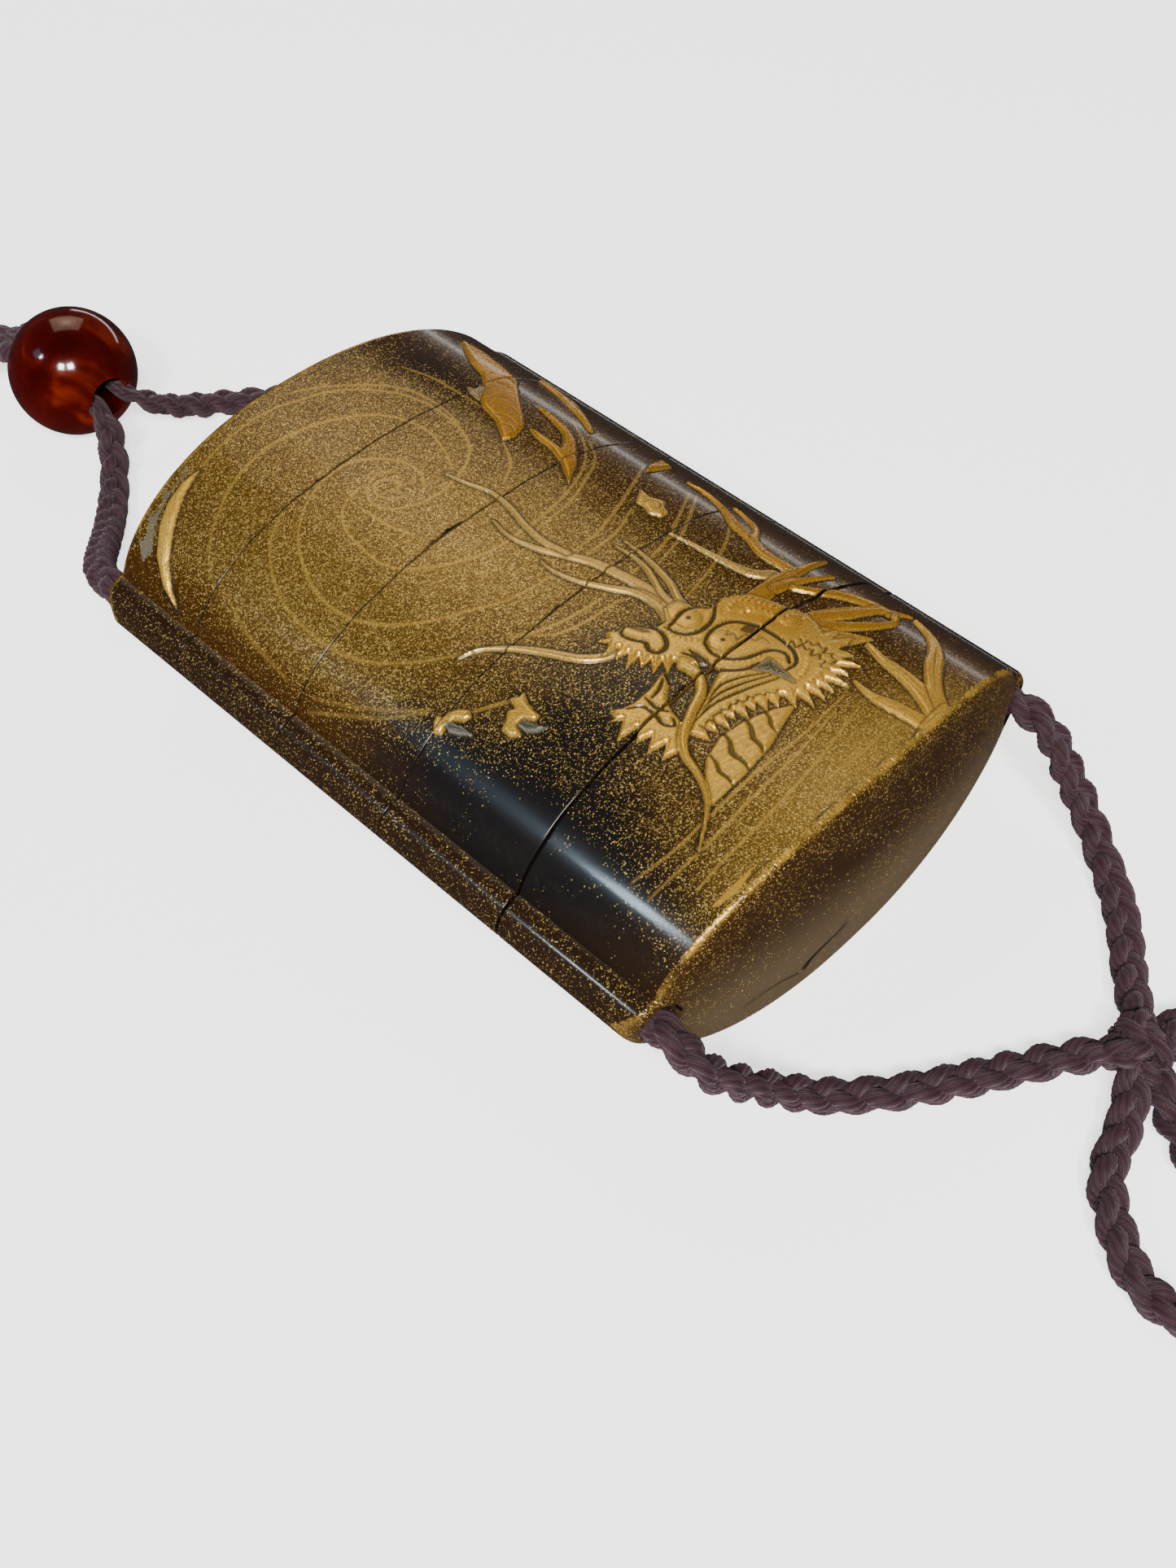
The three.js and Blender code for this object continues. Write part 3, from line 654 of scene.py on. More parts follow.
def lens_loop(half, y):
    """A lens-shaped loop of points at one height along Y."""
    turn = 2 * np.pi * np.arange(INNER_SIDES) / INNER_SIDES
    across = np.cos(turn)
    x = half[0] * np.sign(across) * np.abs(across) ** (2 / ROUNDNESS)
    z = half[1] * np.sin(turn)
    return np.stack([x, np.broadcast_to(y, x.shape), z], axis=1)


def bore_loop(side, y, radius=CHANNEL_RADIUS, centre=RUNNER_CENTRE):
    turn = 2 * np.pi * np.arange(BORE_SIDES) / BORE_SIDES
    x = side * centre + radius * np.cos(turn)
    return np.stack([x, np.broadcast_to(y, x.shape), radius * np.sin(turn)], axis=1)


# The picture, drawn in millimetres from the middle of the front
# A shape's depth is worked out for points up to its margin away, and those beyond it are far outside
SHAPE_MARGIN = 3.0
FAR_OUTSIDE = -9.0


def depth_in_outline(x, y, outline):
    """How far points lie inside a closed outline, negative outside it."""
    outline = np.asarray(outline, float)
    away = np.full(x.shape, 1e9)
    inside = np.zeros(x.shape, bool)
    for (ax, ay), (bx, by) in zip(outline, np.roll(outline, -1, axis=0)):
        ex, ey = bx - ax, by - ay
        t = np.clip(((x - ax) * ex + (y - ay) * ey) / (ex * ex + ey * ey), 0, 1)
        away = np.minimum(away, np.hypot(x - ax - t * ex, y - ay - t * ey))
        if ay != by:
            crosses = ((ay > y) != (by > y)) & (x < ex * (y - ay) / ey + ax)
            inside ^= crosses
    return np.where(inside, away, -away)


def depth_in_stroke(x, y, points, widths):
    """How far points lie inside a brush stroke with its widths at the start, the middle and the end."""
    line = smooth_route(points, 0.5)
    share = np.linspace(0, 1, len(line))
    half = np.interp(share, [0, 0.5, 1], widths) / 2
    depth = np.full(x.shape, FAR_OUTSIDE)
    for i in range(len(line) - 1):
        (ax, ay), (bx, by) = line[i], line[i + 1]
        ex, ey = bx - ax, by - ay
        t = np.clip(((x - ax) * ex + (y - ay) * ey) / (ex * ex + ey * ey + 1e-12), 0, 1)
        away = np.hypot(x - ax - t * ex, y - ay - t * ey)
        depth = np.maximum(depth, half[i] + t * (half[i + 1] - half[i]) - away)
    return depth


def teeth(points, count, height, lean=0.5):
    """A row of teeth along a line of points, each leaning out to the line's right."""
    line = smooth_route(points, 0.1)
    along = directions(line)
    row = []
    for i in range(count):
        root = line[int((len(line) - 1) * i / count)]
        at = int((len(line) - 1) * (i + lean) / count)
        size = height * (1 + 0.25 * math.sin(2.7 * i))
        row.append(list(root))
        row.append([line[at][0] + along[at][1] * size, line[at][1] - along[at][0] * size])
    row.append(list(points[-1]))
    return row


# The picture's layers. The dark one holds real dark lines and also painted shade: round raised forms, along
# engraved lines, in hollows and along seams.
PICTURE_LAYERS = ("gold", "ink_and_shade", "silver", "painted", "amber", "chipped")


class Canvas:
    """The raised and painted picture on a patch of the front."""

    def __init__(self, x, y):
        self.x = x
        self.y = y
        self.height = np.zeros(x.shape)
        self.layers = {key: np.zeros(x.shape) for key in PICTURE_LAYERS}

    def depth(self, shape, points, *rest):
        """The depth of each point in a shape, worked out only near it."""
        points = np.asarray(points, float)
        low = points.min(axis=0) - SHAPE_MARGIN
        high = points.max(axis=0) + SHAPE_MARGIN
        near = (self.x > low[0]) & (self.x < high[0]) & (self.y > low[1]) & (self.y < high[1])
        depth = np.full(self.x.shape, FAR_OUTSIDE)
        if near.any():
            depth[near] = shape(self.x[near], self.y[near], points, *rest)
        return depth

    def in_outline(self, points):
        return self.depth(depth_in_outline, points)

    def in_stroke(self, points, widths):
        return self.depth(depth_in_stroke, points, widths)

    def lay(self, layer, mask):
        """Strengthens a layer where the mask is stronger."""
        self.layers[layer] = np.maximum(self.layers[layer], mask)

    def cover(self, depth, layer, strength=1.0, edge=0.1):
        """Lays a layer over a shape, with a soft edge."""
        self.lay(layer, np.clip(depth / edge + 0.5, 0, 1) * strength)

    def lift(self, depth, height, rounding, layer="gold"):
        """Raises a shape with rounded edges, covers it with a metal, and paints shade on the ground round it.
        """
        share = np.clip(depth / rounding, 0, 1)
        self.height = np.maximum(self.height, height * np.sqrt(1 - (1 - share) ** 2))
        # painted shade: a dark rim on the ground just outside the raised shape
        self.cover(depth + 0.3, "ink_and_shade", 0.8, 0.26)
        bare = 1 - np.clip(depth / 0.1 + 0.5, 0, 1)
        for key in PICTURE_LAYERS:
            self.layers[key] = self.layers[key] * bare
        self.cover(depth, layer)

    def swell(self, depth, height, rounding):
        """Adds a rounded form on top of what is there."""
        share = np.clip(depth / rounding, 0, 1)
        self.height = self.height + height * np.sqrt(1 - (1 - share) ** 2)

    def outline(self, points, height=0.5, rounding=0.45):
        self.lift(self.in_outline(points), height, rounding)

    def stroke(self, points, widths, height=0.38, rounding=0.4):
        self.lift(self.in_stroke(points, widths), height, rounding)

    def cut(self, depth, cut, dark, width):
        share = np.clip(depth / (0.5 * width) + 0.25, 0, 1)
        self.height = np.maximum(self.height - cut * share, 0)
        self.cover(depth, "ink_and_shade", dark, 0.12)

    def engrave(self, points, widths, cut=0.2, dark=0.95):
        """A dark line cut into what is raised, with a softer painted shade along it."""
        depth = self.in_stroke(points, widths)
        self.cut(depth, cut, dark, max(widths))
        # painted shade in a soft band along the cut line
        self.cover(depth + 0.14, "ink_and_shade", 0.5 * dark, 0.4)

    def hatch(self, depth, phase, dark):
        """Fine dark lines inside a shape."""
        lines = (0.5 + 0.5 * np.sin(phase)) ** 3
        self.lay("ink_and_shade", np.clip(depth * 3, 0, 1) * lines * dark)


HEAD = [
    [-6.3, -11.3], [-5.4, -12.0], [-4.9, -11.2], [-4.1, -12.0], [-3.2, -11.9], [-2.2, -12.9], [-1.3, -14.3],
    [0.4, -14.6], [0.8, -14.0], [1.4, -13.3], [3.1, -13.4], [3.5, -14.8], [4.6, -16.3], [5.4, -16.5],
    [6.6, -16.0], [8.0, -17.0], [9.2, -17.8], [9.9, -19.4], [10.6, -21.6], [11.2, -22.2], [11.3, -23.4],
    [10.7, -25.4],
    *teeth([[10.0, -26.4], [9.6, -28.4], [8.0, -29.8], [5.4, -30.5], [2.4, -30.0], [0.9, -29.2]], 10, -2.1),
    *teeth([[0.6, -28.8], [-2.0, -27.4], [-4.8, -26.6], [-8.6, -26.2]], 8, -1.5),
    [-8.8, -25.7], [-7.2, -25.0], [-4.9, -24.2], [-2.6, -23.2], [-1.0, -22.6], [-1.4, -21.2], [-2.5, -20.2],
    *teeth([[-3.1, -18.6], [-4.3, -17.0], [-5.1, -15.2], [-5.6, -12.4]], 6, -1.6),
]
JAW = [
    [-12.6, -18.8], [-11.9, -19.2], [-11.5, -18.1], [-10.6, -18.9], [-9.5, -19.3], [-7.2, -19.3],
    [-4.9, -18.8], [-5.7, -20.4], [-7.2, -21.5], [-7.8, -22.7], [-8.2, -24.2], [-9.5, -25.2],
    [-10.6, -26.6], [-11.6, -27.4],
    *teeth([[-10.7, -26.4], [-10.9, -24.0], [-11.2, -22.0], [-11.5, -19.8]], 4, -1.8),
]
JAW_LINES = [
    [[-10.4, -19.4], [-9.3, -20.4], [-9.3, -22.0], [-9.6, -23.2], [-9.0, -24.2], [-8.5, -23.4]],
    [[-8.4, -19.9], [-8.6, -21.4], [-8.2, -22.6]],
    [[-8.0, -20.3], [-6.8, -20.1], [-5.6, -19.5]],
]
SAIL = [
    [-13.4, -32.5], [-12.6, -31.4], [-11.8, -30.4], [-9.9, -28.8], [-7.2, -28.1], [-4.2, -28.5],
    [-1.5, -29.4], [0.8, -30.7], [-1.5, -31.3], [-4.9, -32.3], [-9.5, -32.7],
]
SAIL_BANDS = [
    ([[-9.4, -28.9], [-9.6, -29.8], [-10.2, -30.8], [-10.2, -31.8], [-10.5, -32.7]], [0.3, 0.5, 0.3]),
    ([[-6.7, -28.2], [-7.0, -29.2], [-7.9, -30.3], [-7.9, -31.4], [-8.2, -32.6]], [0.35, 0.7, 0.35]),
    ([[-4.0, -28.5], [-4.4, -29.5], [-5.3, -30.6], [-5.4, -31.4], [-5.9, -32.4]], [0.35, 0.65, 0.35]),
    ([[-2.1, -29.2], [-2.3, -30.0], [-3.0, -30.8], [-3.2, -31.8]], [0.3, 0.5, 0.25]),
]
SAIL_SPOTS = [[-6.3, -30.6], [-4.0, -30.6], [-1.5, -30.4]]
WHISKERS = [
    ([[2.2, -14.6], [2.5, -12.3], [2.4, -9.6], [2.0, -6.4], [1.4, -3.4], [0.3, -1.0], [-1.1, 2.0],
      [-1.8, 5.3], [-1.3, 8.2]], [1.5, 1.1, 0.25]),
    ([[0.5, -0.7], [0.1, 2.0], [0.5, 5.3], [1.4, 8.7], [1.6, 11.6], [0.8, 14.5], [0.3, 17.0]],
     [0.9, 0.7, 0.25]),
    ([[0.6, -14.6], [1.4, -12.7], [1.2, -9.6], [-0.3, -6.9], [-1.8, -3.8], [-2.3, -0.8], [-2.1, 0.4]],
     [1.2, 0.8, 0.25]),
    ([[2.6, -13.6], [3.0, -11.5], [3.7, -10.0], [4.7, -7.7], [5.0, -5.8], [4.9, -3.4]], [0.9, 0.7, 0.2]),
    ([[3.3, -15.0], [3.5, -13.5], [4.7, -11.2], [5.5, -8.5], [6.0, -5.8], [6.2, -3.4]], [1.0, 0.7, 0.2]),
    ([[-6.2, -13.7], [-7.4, -13.1], [-8.8, -11.7], [-9.9, -9.6], [-11.1, -7.3], [-12.6, -5.0], [-14.5, -2.9],
      [-16.1, -2.1]], [1.1, 0.9, 0.25]),
    ([[14.1, -16.9], [12.4, -15.4], [11.6, -12.3], [11.2, -8.8], [10.7, -5.6]], [1.5, 0.9, 0.25]),
]
CHIN_WHISKER = [
    [-2.9, -19.6], [-2.9, -21.5], [-4.2, -23.1], [-6.8, -24.2], [-9.2, -25.4], [-10.7, -26.9], [-11.5, -29.2],
    [-12.6, -31.2], [-13.8, -32.5], [-17.2, -34.6],
]
HORNS = [
    ([[9.0, -18.4], [12.0, -18.1], [16.0, -17.8], [22.2, -17.6]], [2.4, 1.6, 0.4]),
    ([[12.0, -18.6], [15.0, -19.0], [17.4, -19.6], [19.9, -20.4]], [1.2, 0.9, 0.3]),
    ([[14.0, -19.6], [15.6, -21.4], [17.6, -23.2], [19.0, -25.6], [19.6, -28.4]], [0.8, 1.7, 1.3]),
    ([[10.2, -24.6], [13.2, -26.8], [15.8, -28.4], [18.4, -29.2], [19.6, -28.6]], [1.7, 1.3, 0.8]),
    ([[8.4, -22.8], [11.6, -23.9], [15.5, -25.6], [18.9, -27.0], [21.6, -29.3]], [1.6, 1.9, 0.3]),
    ([[16.4, -16.9], [16.3, -13.6], [17.4, -11.2], [18.0, -8.6], [19.6, -5.6], [20.6, -2.4], [20.6, 0.6]],
     [1.6, 1.3, 0.3]),
    ([[17.6, -11.4], [19.8, -9.8], [21.0, -7.0], [21.4, -5.4]], [1.0, 0.8, 0.3]),
    ([[18.9, 13.6], [21.0, 17.4], [22.6, 21.6], [23.4, 26.0]], [0.7, 1.5, 0.5]),
]
LOW_HORNS = [
    ([[7.3, -32.6], [6.9, -35.0], [7.3, -37.6], [7.7, -41.2]], [0.3, 1.6, 1.9]),
    ([[12.7, -30.2], [12.0, -32.6], [11.7, -35.2], [11.0, -38.0], [9.6, -41.0]], [0.7, 1.8, 2.5]),
    ([[21.3, -30.0], [20.0, -32.7], [18.2, -34.6], [15.0, -36.5], [12.4, -38.5], [10.6, -40.6]],
     [0.6, 1.9, 1.6]),
    ([[5.4, -41.4], [7.6, -41.1], [10.8, -41.0]], [0.4, 1.0, 1.2]),
]
LEAF = [
    [7.6, -24.6], [9.2, -24.8], [10.8, -25.7], [12.2, -27.3], [14.0, -30.0], [11.8, -29.2], [10.2, -28.5],
    [8.4, -28.2],
]
FLAME = [
    [8.7, 7.1], [12.0, 9.1], [15.3, 12.4], [16.6, 14.9], [17.1, 18.3], [17.2, 20.9], [16.2, 17.0],
    [15.3, 14.5], [13.7, 12.8], [12.7, 12.2], [12.9, 13.7], [13.0, 16.0], [12.8, 17.2], [12.0, 15.3],
    [11.8, 12.8], [10.8, 10.3],
]
TAIL = [
    [8.8, 17.3], [10.8, 20.3], [11.6, 23.3], [12.8, 24.9], [14.9, 26.6], [16.6, 28.7], [17.4, 31.2],
    [19.1, 34.1], [20.6, 36.4], [21.0, 36.2], [21.2, 32.8], [20.3, 28.3], [19.5, 25.8], [16.2, 22.0],
    [13.7, 18.9], [12.4, 17.6], [10.8, 17.0], [9.6, 16.8],
]
TAIL_WAVES = [
    [[10.5, 19.2], [11.0, 18.4], [10.6, 17.3]], [[11.4, 21.0], [12.1, 19.8], [11.7, 18.2]],
    [[12.9, 22.6], [13.8, 21.2], [13.3, 19.2]], [[14.2, 23.4], [15.0, 22.4], [14.5, 20.9]],
    [[16.3, 26.0], [16.9, 25.2], [16.6, 24.2]], [[18.1, 26.9], [18.6, 26.0], [18.2, 25.0]],
]
TAIL_TUFT = [[12.2, 24.4], [12.4, 26.2], [13.1, 27.3], [13.5, 26.4], [14.7, 26.8], [14.4, 25.9]]
CLOUD = [
    [12.0, 0.4], [14.2, 1.8], [13.9, 0.0], [14.7, -1.4], [13.8, -2.0], [13.4, -3.0], [12.2, -3.1],
    [11.5, -1.8], [12.0, -0.9],
]
CLOUD_CURL = [[12.1, -0.4], [13.3, -0.5], [13.8, -1.4], [12.9, -2.0], [12.3, -1.4]]
FAR_TOE = [[17.4, 4.1], [19.1, 5.1], [22.0, 5.8], [21.8, 3.9], [19.5, 3.9]]
CRESCENT = [
    [-16.2, 38.3], [-18.6, 38.6], [-20.8, 38.3], [-23.0, 37.3], [-25.2, 35.4], [-26.7, 32.8], [-27.3, 30.0],
    [-26.5, 31.6], [-25.0, 33.6], [-22.4, 35.6], [-19.4, 37.3],
]
SPIKED_LEAF = [
    [-17.0, 39.4], [-16.8, 40.2], [-18.1, 39.4], [-20.0, 39.2], [-19.8, 40.0], [-21.4, 38.9], [-22.8, 38.8],
    [-22.6, 39.6], [-24.0, 38.4], [-25.0, 38.2], [-24.8, 39.2], [-26.2, 37.0], [-25.2, 36.4], [-23.2, 38.0],
    [-20.8, 38.8], [-18.6, 39.1],
]
RIM_PATCH = [[-15.6, -39.5], [-17.1, -39.9], [-18.3, -39.9], [-20.1, -39.3], [-20.3, -39.0], [-18.3, -39.2]]
RIM_LINE = [[-20.6, -39.5], [-14.0, -40.2], [-7.0, -40.7], [0.0, -40.8], [5.0, -40.8]]
FANG = [
    [1.0, -24.9], [2.2, -25.1], [3.3, -25.2], [3.2, -26.4], [2.9, -27.8], [2.5, -29.0], [2.3, -27.8],
    [1.8, -26.3],
]
NOSTRIL_CURL = [
    [-3.2, -12.2], [-4.2, -12.6], [-4.0, -14.0], [-3.4, -15.2], [-3.9, -16.0], [-3.5, -17.0], [-2.4, -17.0],
    [-1.5, -15.8], [-1.4, -14.6], [-2.2, -13.2], [-3.2, -12.2],
]
NOSTRIL = [[-3.3, -12.7], [-2.7, -12.9], [-2.0, -14.1], [-2.1, -14.9], [-2.8, -14.2]]
LIP = [[-1.2, -19.0], [-1.1, -20.6], [-1.3, -22.2], [-0.5, -23.5], [0.8, -24.5], [2.2, -24.8]]
CHEEK_LINE = [[-1.9, -18.8], [-1.5, -20.0], [-1.9, -21.6]]
GUM = [
    [-7.4, -25.0], [-4.9, -24.3], [-2.6, -23.4], [-1.0, -23.3], [0.4, -24.7], [1.6, -26.0], [2.0, -27.4],
    [-0.6, -26.7], [-3.4, -25.7],
]
MOUTH_RIDGES = [
    [[-4.6, -24.5], [-2.6, -24.2], [-0.6, -24.9], [1.5, -26.2]],
    [[-6.0, -24.9], [-3.6, -24.8], [-1.2, -25.5], [1.7, -26.8]],
    [[-7.6, -25.2], [-4.6, -25.3], [-1.8, -26.1], [2.0, -27.5]],
]
UPPER_LID = [[-0.6, -15.3], [-0.3, -16.6], [0.6, -17.6], [2.0, -18.0], [3.6, -17.7], [4.9, -16.8]]
UPPER_BROW = [[-0.5, -15.4], [0.8, -15.2], [2.4, -15.0], [3.7, -15.4], [4.4, -16.2]]
EYE_RING = [
    [0.5, -19.4], [1.3, -18.9], [2.8, -18.7], [4.7, -19.3], [5.9, -21.2], [6.2, -23.1], [5.9, -26.0],
    [4.7, -27.4], [3.3, -27.3],
]
EYE_LOWER = [
    [0.5, -19.4], [0.0, -20.8], [0.5, -22.3], [1.6, -23.4], [2.8, -23.9], [4.5, -24.6], [5.0, -25.9],
    [4.3, -26.9],
]
BROW = [[5.0, -17.2], [7.4, -18.2], [8.9, -20.8], [9.2, -23.0]]
BROW_ZIGZAG = [
    [3.5, -19.9], [2.6, -20.3], [3.6, -20.7], [2.9, -21.3], [4.3, -21.5], [4.1, -22.6], [5.1, -22.8],
    [5.0, -23.9],
]
LEAF_LINE = [[8.6, -26.2], [10.6, -27.0], [12.4, -28.6]]
EYE_CORNER = [[4.2, -20.6], [5.2, -20.5], [5.8, -21.4], [5.0, -22.0], [4.3, -21.5]]
EYES = (([1.75, -16.1], 1.45), ([1.85, -20.5], 1.5))
# Hollows of the face that are painted darker, as painted shade
SHADED_HOLLOWS = (
    [[3.6, -19.6], [5.0, -20.2], [5.6, -22.4], [5.2, -24.6], [4.4, -23.2], [3.8, -21.6]],
    [[-2.2, -17.6], [-1.3, -18.2], [-1.2, -20.6], [-2.0, -22.2], [-2.6, -20.4]],
    [[-1.6, -13.9], [-0.6, -14.6], [-0.9, -16.0], [-1.6, -15.4]],
)
DOT_ROWS = [
    [[4.9, -17.1], [6.4, -16.6], [7.8, -17.4], [8.9, -18.9]],
    [[5.6, -18.0], [7.0, -17.8], [8.3, -19.2], [9.3, -21.2]],
    [[6.4, -19.2], [7.4, -19.6], [8.2, -21.4], [8.3, -22.6]],
    [[2.8, -28.9], [4.6, -28.7], [6.0, -27.8]], [[3.4, -29.9], [5.4, -29.7], [6.8, -29.0]],
    [[-0.6, -28.1], [1.0, -28.9], [2.0, -29.6]], [[-0.9, -15.4], [-0.8, -17.2], [0.2, -18.6]],
    [[0.4, -22.9], [1.6, -24.0], [3.4, -24.4]], [[8.6, -22.6], [9.6, -22.9], [10.4, -23.8]],
]
DOT_RADIUS = 0.24
DOT_STEP = 0.62
MANE_LINES = [
    teeth([[6.5, -24.2], [7.4, -26.2], [7.5, -28.4], [6.6, -30.2]], 6, 0.8),
    teeth([[7.8, -25.4], [8.7, -27.2], [8.4, -29.2], [7.4, -30.6]], 6, 0.7),
    teeth([[-7.6, -26.0], [-4.4, -26.2], [-1.6, -27.0], [0.8, -28.4]], 9, 0.4),
]
CLAWS = [
    (
        [[-22.0, -4.7], [-21.5, -4.5], [-21.3, -5.2], [-20.6, -5.4], [-19.9, -6.0], [-19.4, -7.0],
         [-19.8, -7.7], [-20.5, -7.4], [-20.9, -6.5], [-21.8, -6.2], [-22.6, -6.2], [-22.8, -5.4]],
        [[-21.6, -5.9], [-21.2, -6.3], [-20.9, -7.6], [-21.0, -9.1], [-21.6, -8.0], [-22.0, -6.8]],
    ),
    (
        [[-16.3, -9.4], [-15.7, -10.1], [-15.0, -10.1], [-15.7, -11.3], [-15.9, -12.4], [-15.9, -13.2],
         [-16.6, -13.2], [-17.2, -12.2], [-17.9, -12.1], [-18.5, -13.2], [-19.2, -12.3], [-19.1, -11.1],
         [-18.2, -10.8], [-17.4, -10.2], [-16.8, -10.7]],
        [[-18.0, -12.2], [-17.2, -12.2], [-16.9, -13.4], [-16.4, -14.7], [-17.3, -14.3], [-18.0, -13.3]],
    ),
]
# The painted lines of the swirl and of the streaks across the base
SWIRL_LINES = [
    [[-15.9, 38.5], [-9.7, 39.1], [-5.5, 38.7], [-2.2, 37.6], [1.2, 36.2], [4.1, 33.7], [6.2, 30.8],
     [7.2, 27.4], [7.2, 24.1], [6.6, 21.2], [5.3, 18.7], [3.3, 17.0], [0.3, 15.8], [-3.4, 15.5],
     [-6.3, 16.6], [-7.8, 18.3], [-8.0, 19.6], [-7.2, 21.2], [-5.5, 22.3], [-3.8, 22.0], [-3.0, 20.8]],
    [[-3.0, 39.6], [0.3, 38.0], [3.7, 35.3], [6.2, 32.8], [7.8, 29.5], [7.9, 25.3], [7.3, 22.4]],
    [[-23.8, 27.8], [-21.8, 30.3], [-18.8, 32.2], [-14.7, 33.9], [-9.7, 34.5], [-4.7, 33.5], [-0.9, 31.8],
     [2.0, 29.5], [3.5, 26.6], [3.9, 23.7], [2.8, 19.9], [1.6, 17.8]],
    [[-9.7, 26.0], [-5.9, 26.0], [-3.4, 24.5], [-1.8, 22.4], [-1.3, 20.3], [-1.8, 18.3], [-3.0, 17.0]],
    [[-15.1, 26.2], [-18.0, 24.5], [-20.5, 21.2], [-22.0, 17.4], [-22.4, 12.8], [-22.2, 8.7], [-20.9, 4.5],
     [-18.4, 0.8], [-15.9, -1.8], [-13.8, -4.3]],
    [[-9.7, 26.0], [-12.6, 24.9], [-15.9, 22.4], [-18.0, 19.1], [-19.3, 15.3], [-19.3, 11.2], [-18.0, 7.4],
     [-15.5, 4.1], [-11.3, 1.0], [-8.0, -0.9], [-3.0, -1.8]],
    [[-7.2, 22.4], [-10.1, 21.6], [-12.0, 19.5], [-12.8, 16.2], [-12.8, 12.0], [-11.3, 9.5], [-8.4, 7.0],
     [-4.7, 5.3], [-1.3, 5.1], [3.7, 5.3], [8.7, 6.6], [12.8, 8.7], [16.2, 12.0], [18.7, 16.2]],
    [[1.2, 4.1], [6.6, 4.9], [10.8, 6.6], [14.5, 8.7], [17.0, 12.0]],
    [[-9.2, 19.6], [-9.0, 15.6], [-8.2, 12.8]],
    [[-5.1, 17.8], [-6.3, 18.6], [-6.8, 20.2], [-5.9, 21.4], [-4.7, 21.2], [-4.0, 20.0], [-4.8, 19.0],
     [-5.7, 19.7]],
    [[3.7, 11.8], [6.6, 13.7], [8.7, 17.0]],
    [[10.0, 34.6], [11.2, 31.0], [11.5, 27.0], [11.6, 23.7]],
    [[0.3, -0.9], [5.3, -0.5], [10.3, 1.2], [14.9, 3.3], [18.7, 5.3]],
    [[1.2, -2.2], [6.6, -1.8], [10.8, -0.1]],
    [[-1.1, -7.3], [5.1, -7.1], [10.5, -5.8], [14.3, -3.8], [18.9, -1.2]],
    [[5.5, -8.3], [10.5, -6.9], [14.3, -5.0], [19.3, -1.9]],
    [[4.3, -13.5], [8.5, -12.5], [14.3, -10.2], [19.7, -6.5]],
    [[-9.9, -5.8], [-8.0, -7.7], [-4.9, -8.7], [-1.1, -9.0]],
    [[-11.4, -4.4], [-8.6, -6.2], [-5.0, -7.3], [-1.6, -7.6]],
    [[-27.2, 8.7], [-25.9, 4.5], [-24.3, 0.3], [-21.8, -3.4]],
    [[-26.3, 8.7], [-24.9, 3.7], [-23.0, -0.9], [-21.4, -3.6]],
    [[-24.0, 25.6], [-25.6, 20.0], [-26.4, 13.0]],
    [[-19.6, -7.2], [-17.8, -8.6], [-16.4, -9.8]],
    [[-22.6, -31.5], [-18.8, -32.7], [-14.5, -33.1], [-9.0, -33.2], [-1.1, -33.5], [5.1, -33.1]],
    [[-23.0, -33.8], [-16.5, -34.8], [-10.7, -34.8], [-3.4, -34.6], [2.8, -33.8]],
    [[-19.9, -36.9], [-10.7, -37.1], [-3.0, -36.5], [5.1, -35.0]],
    [[-4.9, -38.5], [2.8, -38.8], [6.6, -37.7]],
]


def paint_eyes(canvas):
    for (cx, cy), radius in EYES:
        eye = radius - np.hypot(canvas.x - cx, canvas.y - cy)
        canvas.swell(eye, 0.22, radius)
        canvas.cover(0.1 - np.abs(eye - 0.1), "ink_and_shade", 0.7, 0.1)
        canvas.cover(eye - radius + 0.3, "ink_and_shade", 0.95, 0.12)


def paint_head(canvas):
    canvas.outline(JAW, 0.5, 0.5)
    canvas.outline(HEAD, 0.6, 0.55)
    warm = np.clip((canvas.x - 1.5) / 7, 0, 1) * np.clip((canvas.y + 29) / 8, 0.2, 1)
    canvas.lay("amber", 0.75 * warm * np.clip(canvas.in_outline(HEAD) / 0.1, 0, 1))
    # painted shade in the hollows of the face
    for hollow in SHADED_HOLLOWS:
        canvas.cover(canvas.in_outline(hollow), "ink_and_shade", 0.4, 0.9)
    canvas.swell(canvas.in_stroke(BROW, [1.6, 2.8, 2.2]), 0.3, 1.2)
    for line in (UPPER_LID, UPPER_BROW, EYE_RING, EYE_LOWER, NOSTRIL_CURL, LIP, CHEEK_LINE):
        canvas.engrave(line, [0.42, 0.62, 0.42], cut=0.26)
    paint_eyes(canvas)
    canvas.swell(canvas.in_outline(GUM), 0.1, 0.5)
    for line in MOUTH_RIDGES:
        canvas.engrave(line, [0.26, 0.42, 0.26])
    canvas.engrave(BROW_ZIGZAG, [0.18, 0.26, 0.18], cut=0.08, dark=0.85)
    canvas.cover(canvas.in_outline(EYE_CORNER), "ink_and_shade", 0.9, 0.15)
    for line in MANE_LINES:
        canvas.engrave(line, [0.24, 0.34, 0.2], dark=0.9)
    for line in JAW_LINES:
        canvas.engrave(line, [0.34, 0.5, 0.34], cut=0.24)
    canvas.cover(canvas.in_outline(NOSTRIL), "ink_and_shade", 0.85, 0.15)
    for row in DOT_ROWS:
        for x, y in smooth_route(row, DOT_STEP):
            canvas.swell(DOT_RADIUS - np.hypot(canvas.x - x, canvas.y - y), 0.1, DOT_RADIUS)
    fang = canvas.in_outline(FANG)
    canvas.lift(fang, 0.8, 0.5, "silver")
    canvas.layers["silver"] *= 1 - 0.75 * np.clip(fang / 0.3, 0, 1)
    canvas.cover(fang - 0.2, "ink_and_shade", 0.55, 0.2)


